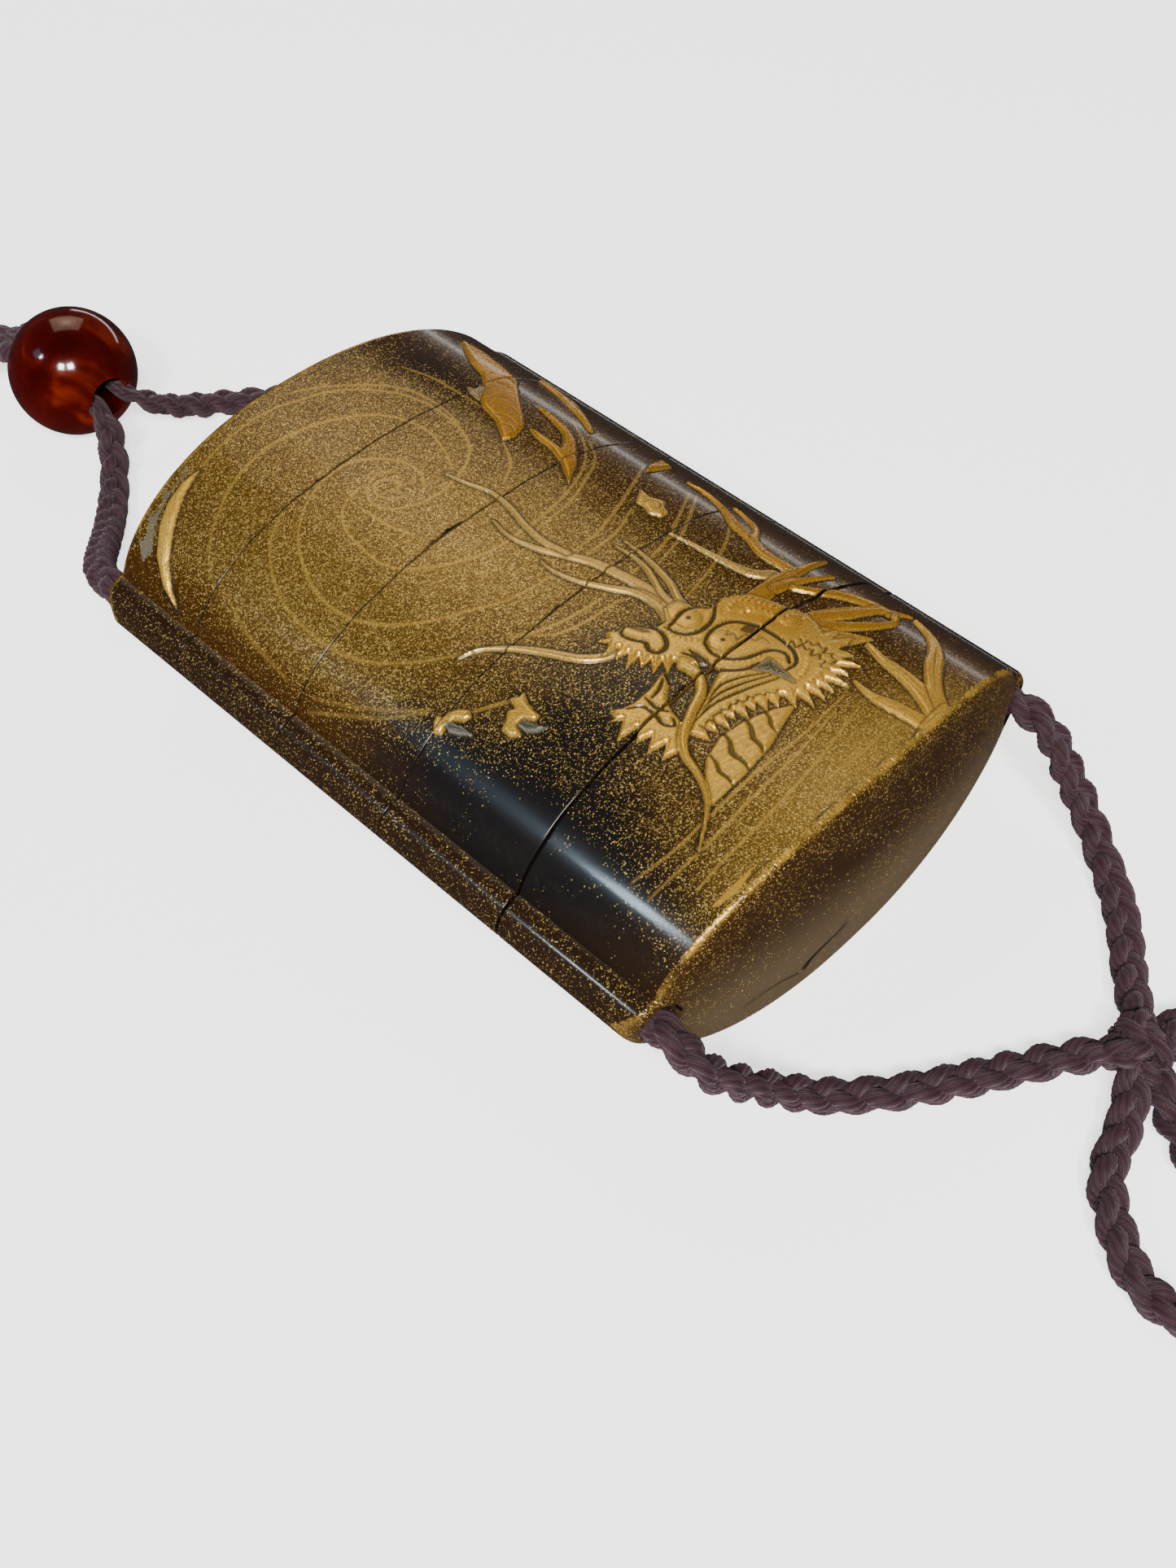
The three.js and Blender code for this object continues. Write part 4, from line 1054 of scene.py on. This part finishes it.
def paint_sail(canvas):
    canvas.outline(SAIL, 0.42, 0.4)
    inside = canvas.in_outline(SAIL)
    for points, widths in SAIL_BANDS:
        canvas.cut(np.minimum(canvas.in_stroke(points, widths), inside), 0.24, 0.9, max(widths))
    for x, y in SAIL_SPOTS:
        canvas.cover(0.34 - np.hypot(canvas.x - x, (canvas.y - y) * 0.7), "chipped", 0.6, 0.15)
    canvas.hatch(inside, 8.5 * canvas.y + 3.0 * canvas.x, 0.45)


def paint_claws(canvas):
    for foot, talon in CLAWS:
        canvas.outline(foot, 0.45, 0.4)
        nail = canvas.in_outline(talon)
        canvas.lift(nail, 0.55, 0.35, "silver")
        canvas.cover(nail - 0.18, "ink_and_shade", 0.8, 0.15)


def paint_horn(canvas, points, widths, amber):
    """A horn or a strand of the mane, with two fine lines along it."""
    canvas.stroke(points, widths, 0.45, 0.5)
    canvas.cover(canvas.in_stroke(points, widths), "amber", amber, 0.3)
    ridge = points[1:-1] if len(points) > 3 else points
    for side in (-0.22, 0.22):
        shift = side * widths[1]
        canvas.engrave([[x + shift, y + shift * 0.6] for x, y in ridge], [0.1, 0.2, 0.1], cut=0.12, dark=0.6)


def paint_flames(canvas):
    for points, widths in HORNS:
        paint_horn(canvas, points, widths, 0.8)
    for points, widths in LOW_HORNS:
        paint_horn(canvas, points, widths, 0.25)
    canvas.outline(LEAF, 0.5, 0.5)
    canvas.cover(canvas.in_outline(LEAF), "amber", 0.5, 0.3)
    canvas.engrave(LEAF_LINE, [0.2, 0.3, 0.15])
    for outline in (TAIL, FLAME, FAR_TOE):
        canvas.outline(outline, 0.45, 0.5)
        canvas.cover(canvas.in_outline(outline), "amber", 0.9, 0.4)
    for wave in TAIL_WAVES:
        canvas.engrave(wave, [0.2, 0.32, 0.18], cut=0.14, dark=0.8)
    canvas.hatch(canvas.in_outline(TAIL), 5.0 * (canvas.x + canvas.y), 0.3)
    canvas.outline(TAIL_TUFT, 0.3, 0.3)
    canvas.cover(canvas.in_outline(TAIL_TUFT), "silver", 0.7, 0.2)
    canvas.outline(CLOUD, 0.42, 0.5)
    canvas.engrave(CLOUD_CURL, [0.18, 0.26, 0.18])


def paint_crescent(canvas):
    canvas.outline(CRESCENT, 0.45, 0.5)
    canvas.hatch(canvas.in_outline(CRESCENT), 9.0 * (canvas.x - 0.6 * canvas.y), 0.3)
    canvas.cover(canvas.in_outline(SPIKED_LEAF), "silver", 0.45, 0.12)


def paint_rim_wear(canvas):
    """The worn gold patch and the broken dark line beside the base's front rim."""
    patch = canvas.in_outline(RIM_PATCH)
    canvas.cover(patch, "gold", 0.85, 0.15)
    canvas.cover(patch, "amber", 0.4, 0.15)
    broken = np.clip(0.5 + np.sin(1.1 * canvas.x) * np.sin(0.43 * canvas.x + 2) * 1.6, 0, 1)
    canvas.cover(canvas.in_stroke(RIM_LINE, [0.12, 0.3, 0.12]), "ink_and_shade", 0.8 * broken)


def paint_swirl(canvas):
    """Thin painted lines that wind out of one centre, streaks on the base, and a pale wash at its edge that
    is partly painted highlight.
    """
    for points in SWIRL_LINES:
        canvas.cover(canvas.in_stroke(points, [0.14, 0.3, 0.16]), "painted", 0.85, 0.22)
    canvas.layers["painted"] *= np.clip((canvas.x + 27) / 9, 0.3, 1)
    # a pale wash along the base's front edge, partly gold and partly painted highlight
    gold_and_highlight = np.exp(-((canvas.x - 1) / 13) ** 2 - ((canvas.y + 39.5) / 4) ** 2)
    canvas.lay("painted", 0.3 * gold_and_highlight)


# Patches of the front with more or less gold: how much, their middle, and their reach across and along it
# The patches of more gold along the middle and at the base lie on the top's broad highlight, so they are
# partly painted highlight.
GOLD_PATCHES = (
    (0.30, -5, 5, 10, 11), (0.12, -10, 20, 12, 12), (0.34, 0, -40, 16, 5), (-0.24, -15, -17, 10, 13),
    (-0.18, -4, -18, 9, 8), (-0.12, 4, 42, 14, 6), (-0.18, 13, 33, 4, 8), (-0.20, -22, -28, 7, 16),
    (-0.25, -24.5, -13, 2.5, 10), (0.26, -23.5, 17, 4, 18),
)
# The same for patches where the lacquer is less brown
BROWN_PATCHES = (
    (-0.5, -15, -17, 12, 14), (-0.4, -3, -18, 9, 8), (-0.6, 13, 33, 4, 8), (-0.5, -24, -20, 5, 22),
)


def patches(x, y, rows):
    total = np.zeros(x.shape)
    for strength, cx, cy, wide, long in rows:
        total += strength * np.exp(-((x - cx) / wide) ** 2 - ((y - cy) / long) ** 2)
    return total


def ramp_up(value, start, width):
    """Zero up to the start, and one from a width further on."""
    return np.clip((value - start) / width, 0, 1)


def ground_values(x, y):
    """How densely the gold is sprinkled, and how brown the lacquer is, on the front."""
    # The gold thins towards the far side and the far wall is blacker; this is partly the lacquer and partly
    # painted shade of the side turned from the light.
    far = ramp_up(x, 5, 9)
    near = ramp_up(-x, 18, 6)
    edges = 0.18 * ramp_up(-x, 24.5, 2) + 0.32 * ramp_up(x, 19, 3)
    sprinkle = 0.52 + patches(x, y, GOLD_PATCHES) - 0.32 * far - 0.26 * near - edges
    brown = 0.5 + patches(x, y, BROWN_PATCHES) + 0.5 * far + 0.4 * near * ramp_up(y, -2, 8)
    brown -= 0.35 * ramp_up(x, 22, 3)
    return np.clip(sprinkle, 0.0, 0.92), np.clip(brown, 0, 1)


def paint(x, y):
    canvas = Canvas(x, y)
    paint_swirl(canvas)
    for points, widths in WHISKERS:
        canvas.stroke(points, widths)
        canvas.cover(canvas.in_stroke(points, widths), "silver", 0.3, 0.2)
    paint_flames(canvas)
    paint_sail(canvas)
    paint_head(canvas)
    canvas.stroke(CHIN_WHISKER, [1.2, 0.9, 0.2], height=0.7, rounding=0.45)
    paint_claws(canvas)
    paint_crescent(canvas)
    paint_rim_wear(canvas)
    return canvas


# The five cases
def seam_wander(x, seam):
    """A seam's slight wave across the front."""
    return 0.05 * np.sin(0.37 * x + seam) + 0.03 * np.sin(1.1 * x + 2 * seam)


# Chips along the front edges: the case that has them, their middle and half width across, and their depth
CHIPS = {
    "tray_1": [(-7.6, 1.3, 0.34), (-5.3, 1.4, 0.42), (-4.0, 0.7, 0.25)],
    "lid": [(-9.6, 0.5, 0.3)],
    "tray_2": [(-6.0, 1.2, 0.14), (3.0, 2.0, 0.1)],
    "tray_3": [(-5.4, 1.0, 0.3), (13.4, 0.8, 0.2)],
}


def chip_depth(name, x, z):
    """How far chips cut back the lower edge of a case, on the front only."""
    depth = np.zeros(x.shape)
    for middle, half, size in CHIPS.get(name, []):
        share = np.clip(1 - np.abs(x - middle) / half, 0, 1)
        depth = np.maximum(depth, size * np.sqrt(share) * (0.85 + 0.15 * np.sin(9 * x)))
    return np.where(z > 0, depth, 0.0)


def side_rows(length, step):
    """Shares from one edge of a case to the other, with close rows at both edges for their rounding."""
    edge = np.array([0.0, 0.05, 0.12]) / length
    middle = np.linspace(0.2 / length, 1 - 0.2 / length, int(length / step))
    return np.concatenate([edge, middle, 1 - edge[::-1]])


# How far the painted shade along a seam's edge reaches, and the size of its rounding
SEAM_SHADE = 0.2
EDGE_ROUNDING = 0.14
EDGE_DROP = 0.05


def add_side(shell, section, low, high, step, round_low, round_high):
    """The outside between two edges, given as heights along Y for each point of the section."""
    length = float(np.mean(high - low))
    share = side_rows(length, step)[:, None]
    y = low[None, :] + share * (high - low)[None, :]
    x = np.broadcast_to(section.x, y.shape)
    z = np.broadcast_to(section.z, y.shape)
    front = slice(0, section.front)
    canvas = paint(x[:, front], y[:, front])
    values = {key: np.zeros(y.shape) for key in PICTURE_LAYERS}
    values["sprinkle"] = np.where(x > 0, 0.06, 0.13)
    values["brown"] = np.where(x > 0, 0.2, 0.3)
    values["sprinkle"][:, front], values["brown"][:, front] = ground_values(x[:, front], y[:, front])
    for key, layer in canvas.layers.items():
        values[key][:, front] = layer
    lift = np.zeros(y.shape)
    lift[:, front] = canvas.height
    for rounded, along in ((round_low, y - low[None, :]), (round_high, high[None, :] - y)):
        if rounded:
            lift -= EDGE_DROP * np.clip(1 - along / EDGE_ROUNDING, 0, 1) ** 2
            # painted shade on the edges at a seam
            values["ink_and_shade"] = np.maximum(values["ink_and_shade"], 0.85 * np.clip(1 - along / SEAM_SHADE, 0, 1))
    points = np.stack([x + section.nx * lift, y, z + section.nz * lift], axis=-1)
    shell.add_grid(points, closed=True, values=values)
    return points[0], points[-1]


def add_bores(shell, low, high):
    for side in (-1, 1):
        shell.add_band(bore_loop(side, low), bore_loop(side, high))


def add_seam_face(shell, edge, y, inner_half):
    """The flat face at a seam, from the outside's edge in to the socket or the riser, round both bores."""
    shell.add_flat([edge, bore_loop(-1, y), bore_loop(1, y), lens_loop(inner_half, y)])


def add_riser(shell, seam_y, top_y):
    """The riser's outside and its rim."""
    shell.add_band(lens_loop(RISER_HALF, seam_y), lens_loop(RISER_HALF, top_y))
    shell.add_band(lens_loop(RISER_HALF, top_y), lens_loop(INNER_HALF, top_y))


def add_flat_hollow(shell, half, open_y, flat_y):
    """The wall and the flat end of a socket or of a tray's compartment."""
    shell.add_band(lens_loop(half, open_y), lens_loop(half, flat_y))
    shell.add_flat([lens_loop(half, flat_y)])


def add_end_hollow(shell, half, open_y, side):
    """A compartment's wall and its shaped end, which follows the outside of the end."""
    outline = lens_loop(half, 0.0)
    rings = [lens_loop(half, open_y)]
    for share in (1.0, 0.85, 0.7, 0.5, 0.3, 0.15, 0.0):
        ring = outline * [share, 0, share]
        ring[:, 1] = side * (end_reach(ring[:, 0], ring[:, 2], 2.0) - END_WALL)
        rings.append(ring)
    shell.add_band(*rings)


# How far the rings of points on an end lie inside its rim
RIM_INSETS = (0.03, 0.08, 0.15, 0.25, 0.38, 0.55, 0.8, 1.2, 1.8, 2.6, 3.6, 4.8, 6.2, 7.8, 9.6, 11.6)
# The cracks in the base's end: route, widths at the start, the middle and the end, and darkness
CRACKS = (
    ([[-3.8, -5.3], [-6.4, -6.0], [-8.4, -6.9], [-9.1, -8.2]], [0.2, 0.8, 1.1], 1.0),
    ([[-9.6, -8.3], [-12.7, -6.8], [-16.8, -6.5]], [0.6, 0.5, 0.2], 0.5),
)
CRACK_STEEPNESS = 1.3
CRACK_EDGE = 0.08
# Rows of points across a crack, as shares of its half width
CRACK_ROWS = (-1.3, -1, 0, 1, 1.3)


def crack_rows():
    """Rows of points along each crack and on both sides of it."""
    rows = []
    for points, widths, _ in CRACKS:
        line = smooth_route(points, 0.16)
        along = directions(line)
        across = np.stack([-along[:, 1], along[:, 0]], axis=1)
        half = np.interp(np.linspace(0, 1, len(line)), [0, 0.5, 1], widths)[:, None] / 2
        for share in CRACK_ROWS:
            rows.append(line + across * share * half)
    return rows


def crack_values(x, z):
    """How dark the cracks are at points of the base's end, from 0 to 1, and how deep, in millimetres."""
    dark = np.zeros(x.shape)
    deep = np.zeros(x.shape)
    for points, widths, strength in CRACKS:
        inside = depth_in_stroke(x, z, points, widths)
        dark = np.maximum(dark, strength * np.clip(inside / CRACK_EDGE + 1, 0, 1))
        deep = np.maximum(deep, strength * CRACK_STEEPNESS * inside)
    return dark, deep


def from_mouth(x, z):
    """How far points lie from the middle of the nearer mouth."""
    return np.hypot(np.abs(x) - MOUTH_CENTRE, z)


def mouth_loop(hand, y, grow=0.0):
    return bore_loop(hand, y, MOUTH_RADIUS + grow, MOUTH_CENTRE)


def end_points(outline, side):
    """Groups of points inside an end's outline, each with how far inside the rim its points count."""
    groups = []
    closed = np.concatenate([outline, outline[:1]])
    for i, inset in enumerate(RIM_INSETS):
        ring = resample(closed, 0.45 + 0.05 * i)[:-1] * (1 - inset / HALF_DEPTH)
        clear = from_mouth(*ring.T) > MOUTH_RADIUS + 0.12
        groups.append((ring[clear], np.full(clear.sum(), inset)))
    for hand in (-1, 1):
        for grow in (0.15, 0.4):
            ring = mouth_loop(hand, 0.0, grow)[:, [0, 2]]
            inside = depth_in_outline(*ring.T, outline)
            groups.append((ring[inside > 0.12], inside[inside > 0.12]))
    if side < 0:
        groups += [(row, depth_in_outline(*row.T, outline)) for row in crack_rows()]
    return groups


def end_values(x, z, inset):
    """The gold is densest near the rim and above, and the rim itself is worn bare in places. Lower down, away
    from the rim, the end is painted paler, as a painted reflection of the floor.
    """
    upper = np.clip((z + 6.0) / 7, 0.1, 1)
    near_rim = np.exp(-inset / 1.8) * upper
    worn = 0.55 + 0.45 * np.sin(1.3 * x) * np.sin(0.47 * x + 1)
    inward = np.clip((26 - np.abs(x)) / 2, 0.25, 1)
    return {
        "sprinkle": 0.05 + 0.26 * near_rim,
        "brown": 0.5 + 0.2 * near_rim,
        "satin": 1 - near_rim,
        # painted reflection of the floor, paler towards the lower edge
        "painted_floor_reflection": np.clip((5.5 - z) / 9, 0, 1) * (1 - near_rim),
        "gold": np.clip(1.1 - inset / 0.2, 0, 1) * worn * 0.8 * upper * inward,
    }


def add_end_cap(shell, section, edge, side):
    """The shaped end, round both mouths."""
    outline = np.stack([section.x, section.z], axis=1)
    loops = [edge[:, [0, 2]], *(mouth_loop(hand, 0.0)[:, [0, 2]] for hand in (-1, 1))]
    groups = [(loop, np.zeros(len(loop))) for loop in loops] + end_points(outline, side)
    points = np.concatenate([group for group, _ in groups])
    insets = np.concatenate([own for _, own in groups])
    rounds = []
    for loop in loops:
        start = len(rounds)
        rounds += [(start + i, start + (i + 1) % len(loop)) for i in range(len(loop))]
    flat, _, faces, origin, _, _ = delaunay_2d_cdt([Vector(p) for p in points], rounds, [], 1, 1e-6)
    x, z = np.array([list(p) for p in flat]).T
    inset = insets[[names[0] for names in origin]]
    at_mouth = np.abs(from_mouth(x, z) - MOUTH_RADIUS) < 1e-4
    inset[at_mouth] = np.maximum(depth_in_outline(x[at_mouth], z[at_mouth], outline), 0)
    y = end_reach(x, z, inset)
    values = end_values(x, z, inset)
    if side < 0:
        values["ink_and_shade"], deep = crack_values(x, z)
        y = y - deep
    kept = [face for face in faces if from_mouth(x[face].mean(), z[face].mean()) >= MOUTH_RADIUS * 0.99]
    first = shell.add_points(np.stack([x, side * y, z], axis=1), values)
    shell.faces.append(first + np.array(kept))


def add_mouths(shell, section, side):
    """Each mouth's taper from the end's surface down to its bore."""
    outline = np.stack([section.x, section.z], axis=1)
    bottom = side * (HALF_LENGTH - MOUTH_DEPTH)
    for hand in (-1, 1):
        mouth = mouth_loop(hand, 0.0)
        inset = np.maximum(depth_in_outline(mouth[:, 0], mouth[:, 2], outline), 0)
        mouth[:, 1] = side * end_reach(mouth[:, 0], mouth[:, 2], inset)
        shell.add_band(mouth, mouth_loop(hand, bottom + side * 0.6), bore_loop(hand, bottom))


def make_case(section, name, low_seam, high_seam, step, material):
    """One of the cases between its seams. A seam of None is an end of the whole case."""
    shell = Shell()
    high = end_reach(section.x, section.z)
    low = -high
    low_face = MOUTH_DEPTH - HALF_LENGTH
    high_face = -low_face
    if low_seam is not None:
        low_face = low_seam + (WIDE_GAP if name == "tray_3" else HAIRLINE)
        low = low_face + seam_wander(section.x, low_seam)
    if high_seam is not None:
        high_face = high_seam - (WIDE_GAP if name == "base" else HAIRLINE)
        high = high_face + seam_wander(section.x, high_seam)
    low = low + chip_depth(name, section.x, section.z)
    low_edge, high_edge = add_side(
        shell, section, low, high, step, round_low=low_seam is not None, round_high=high_seam is not None,
    )
    if low_seam is not None:
        add_seam_face(shell, low_edge, low_face, SOCKET_HALF)
    if high_seam is not None:
        add_seam_face(shell, high_edge, high_face, RISER_HALF)
    add_bores(shell, low_face, high_face)
    if low_seam is None:
        add_end_cap(shell, section, low_edge, -1)
        add_mouths(shell, section, -1)
        add_riser(shell, high_face, high_seam + RISER_HEIGHT)
        add_end_hollow(shell, INNER_HALF, high_seam + RISER_HEIGHT, -1)
    elif high_seam is None:
        add_end_cap(shell, section, high_edge, 1)
        add_mouths(shell, section, 1)
        add_end_hollow(shell, SOCKET_HALF, low_face, 1)
    else:
        ceiling = low_seam + SOCKET_DEPTH
        add_flat_hollow(shell, SOCKET_HALF, low_face, ceiling)
        add_riser(shell, high_face, high_seam + RISER_HEIGHT)
        add_flat_hollow(shell, INNER_HALF, high_seam + RISER_HEIGHT, ceiling + FLOOR)
    piece = shell.piece(name + "_case", weld=2e-7, sharp=40)
    piece.data.transform(Matrix.Translation((0, 0, CASE_CENTRE_Z * MM)))
    piece.data.materials.append(material)
    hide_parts(name)
    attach(piece, "root")


# The bead: points round it, rows along its outside and rows along its bore
BEAD_SIDES = 112
BEAD_ROWS = 72
BEAD_BORE_ROWS = 12


def make_bead(material):
    """A round bead with a bore along Y whose edges are rounded, and a small flat spot below."""
    hole = math.asin(BEAD_HOLE_RADIUS / BEAD_RADIUS)
    turn = np.linspace(hole, math.pi - hole, BEAD_ROWS)
    outside = np.stack([BEAD_RADIUS * np.sin(turn), -BEAD_RADIUS * np.cos(turn)], axis=1)
    rim = outside[0, 1]
    bore_y = np.linspace(-rim - 0.5, rim + 0.5, BEAD_BORE_ROWS)
    bore = np.stack([np.full(BEAD_BORE_ROWS, BEAD_HOLE_RADIUS - 0.05), bore_y], axis=1)
    profile = np.concatenate([
        outside, [[BEAD_HOLE_RADIUS, -rim - 0.2]], bore, [[BEAD_HOLE_RADIUS, rim + 0.2]],
    ])
    around = 2 * np.pi * np.arange(BEAD_SIDES) / BEAD_SIDES
    points = np.stack([
        profile[:, None, 0] * np.cos(around),
        np.broadcast_to(profile[:, None, 1], (len(profile), BEAD_SIDES)),
        profile[:, None, 0] * np.sin(around),
    ], axis=-1) + BEAD_CENTRE
    points = np.concatenate([points, points[:1]])
    points[..., 2] = np.maximum(points[..., 2], 0.0)
    shell = Shell()
    shell.add_grid(points, closed=True)
    bead = shell.piece("bead_of_stone", weld=1e-6)
    bead.data.materials.append(material)
    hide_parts("ojime_bead")
    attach(bead, "root")


# The floor and the light. The floor glows, so that it stays white under a light that suits dark lacquer,
# and the lacquer doesn't mirror it.
FLOOR_GLOW = 1.6


def add_floor():
    bpy.ops.mesh.primitive_plane_add(size=6, location=(0, 0, 0))
    floor = bpy.context.object
    floor.name = "floor"
    nodes = Nodes("pale_floor")
    nodes.set(Base_Color=(0.9, 0.9, 0.9, 1), Roughness=0.9, Specular_IOR_Level=0.1)
    nodes.set(Emission_Color=(1.0, 1.0, 1.0, 1), Emission_Strength=FLOOR_GLOW)
    floor.data.materials.append(nodes.material)
    floor.visible_glossy = False


def add_light(name, place, target, size, power, colour):
    data = bpy.data.lights.new(name, "AREA")
    data.shape = "RECTANGLE"
    data.size, data.size_y = size
    data.energy = power
    data.color = colour
    light = bpy.data.objects.new(name, data)
    light.location = place
    light.rotation_euler = (Vector(target) - Vector(place)).to_track_quat("-Z", "Y").to_euler()
    bpy.context.scene.collection.objects.link(light)


def add_world(colour, strength):
    world = bpy.data.worlds.new("world")
    world.use_nodes = True
    background = world.node_tree.nodes["Background"]
    background.inputs[0].default_value = (*colour, 1)
    background.inputs[1].default_value = strength
    bpy.context.scene.world = world


MIDDLE = (0, 0, 0.01)
KEY_COLOUR = (1.0, 0.98, 0.95)
TOP_COLOUR = (1.0, 0.86, 0.62)


def light_scene():
    """Two keys, three sizes of one warm light that make a soft highlight, two cool ones and a low strip."""
    add_world((0.96, 0.98, 1.0), 0.05)
    add_light("key_left", (-0.66, -0.40, 0.8), MIDDLE, (0.18, 0.18), 12.0, KEY_COLOUR)
    add_light("key_right", (-0.42, -0.60, 0.8), MIDDLE, (0.18, 0.18), 12.0, KEY_COLOUR)
    for number, (size, power) in enumerate(((0.16, 0.3), (0.34, 0.8), (0.6, 1.7))):
        add_light(f"top_{number + 1}", (0.37, 0.59, 0.72), MIDDLE, (size, size), power, TOP_COLOUR)
    add_light("cool_side", (-0.66, 0.34, 0.67), MIDDLE, (0.05, 0.09), 1.7, (0.66, 0.86, 1.0))
    add_light("cool_haze", (-0.60, 0.50, 0.62), MIDDLE, (0.2, 0.2), 0.2, (0.3, 0.62, 1.0))
    add_light("far_side", (0.80, 0.50, 0.08), MIDDLE, (0.9, 0.05), 0.9, (1.0, 1.0, 1.0))


# The cases from the top end down, and the spacing of the rows of points along each
CASES = ("lid", "tray_1", "tray_2", "tray_3", "base")
ROW_STEPS = (0.2, 0.18, 0.16, 0.13, 0.13)


def main():
    add_camera()
    silk = silk_material()
    add_cord("cord_near", [*reversed(NEAR_UPPER), *NEAR_LOWER], silk)
    add_cord("cord_far", [*reversed(FAR_UPPER), *FAR_LOWER], silk)
    add_cord("cord_bight", BIGHT, silk)
    add_cord("cord_bow_1", BOWS[0], silk)
    add_cord("cord_bow_2", BOWS[1], silk)
    add_knot(silk)
    make_bead(carnelian_material())
    section = Section()
    lacquer = lacquer_material()
    seams = [None, *(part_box(node)[0][1] / MM - SEAM_GAP / 2 for node in CASES[:-1]), None]
    for name, high_seam, low_seam, step in zip(CASES, seams, seams[1:], ROW_STEPS):
        make_case(section, name, low_seam, high_seam, step, lacquer)
    add_floor()
    light_scene()


main()
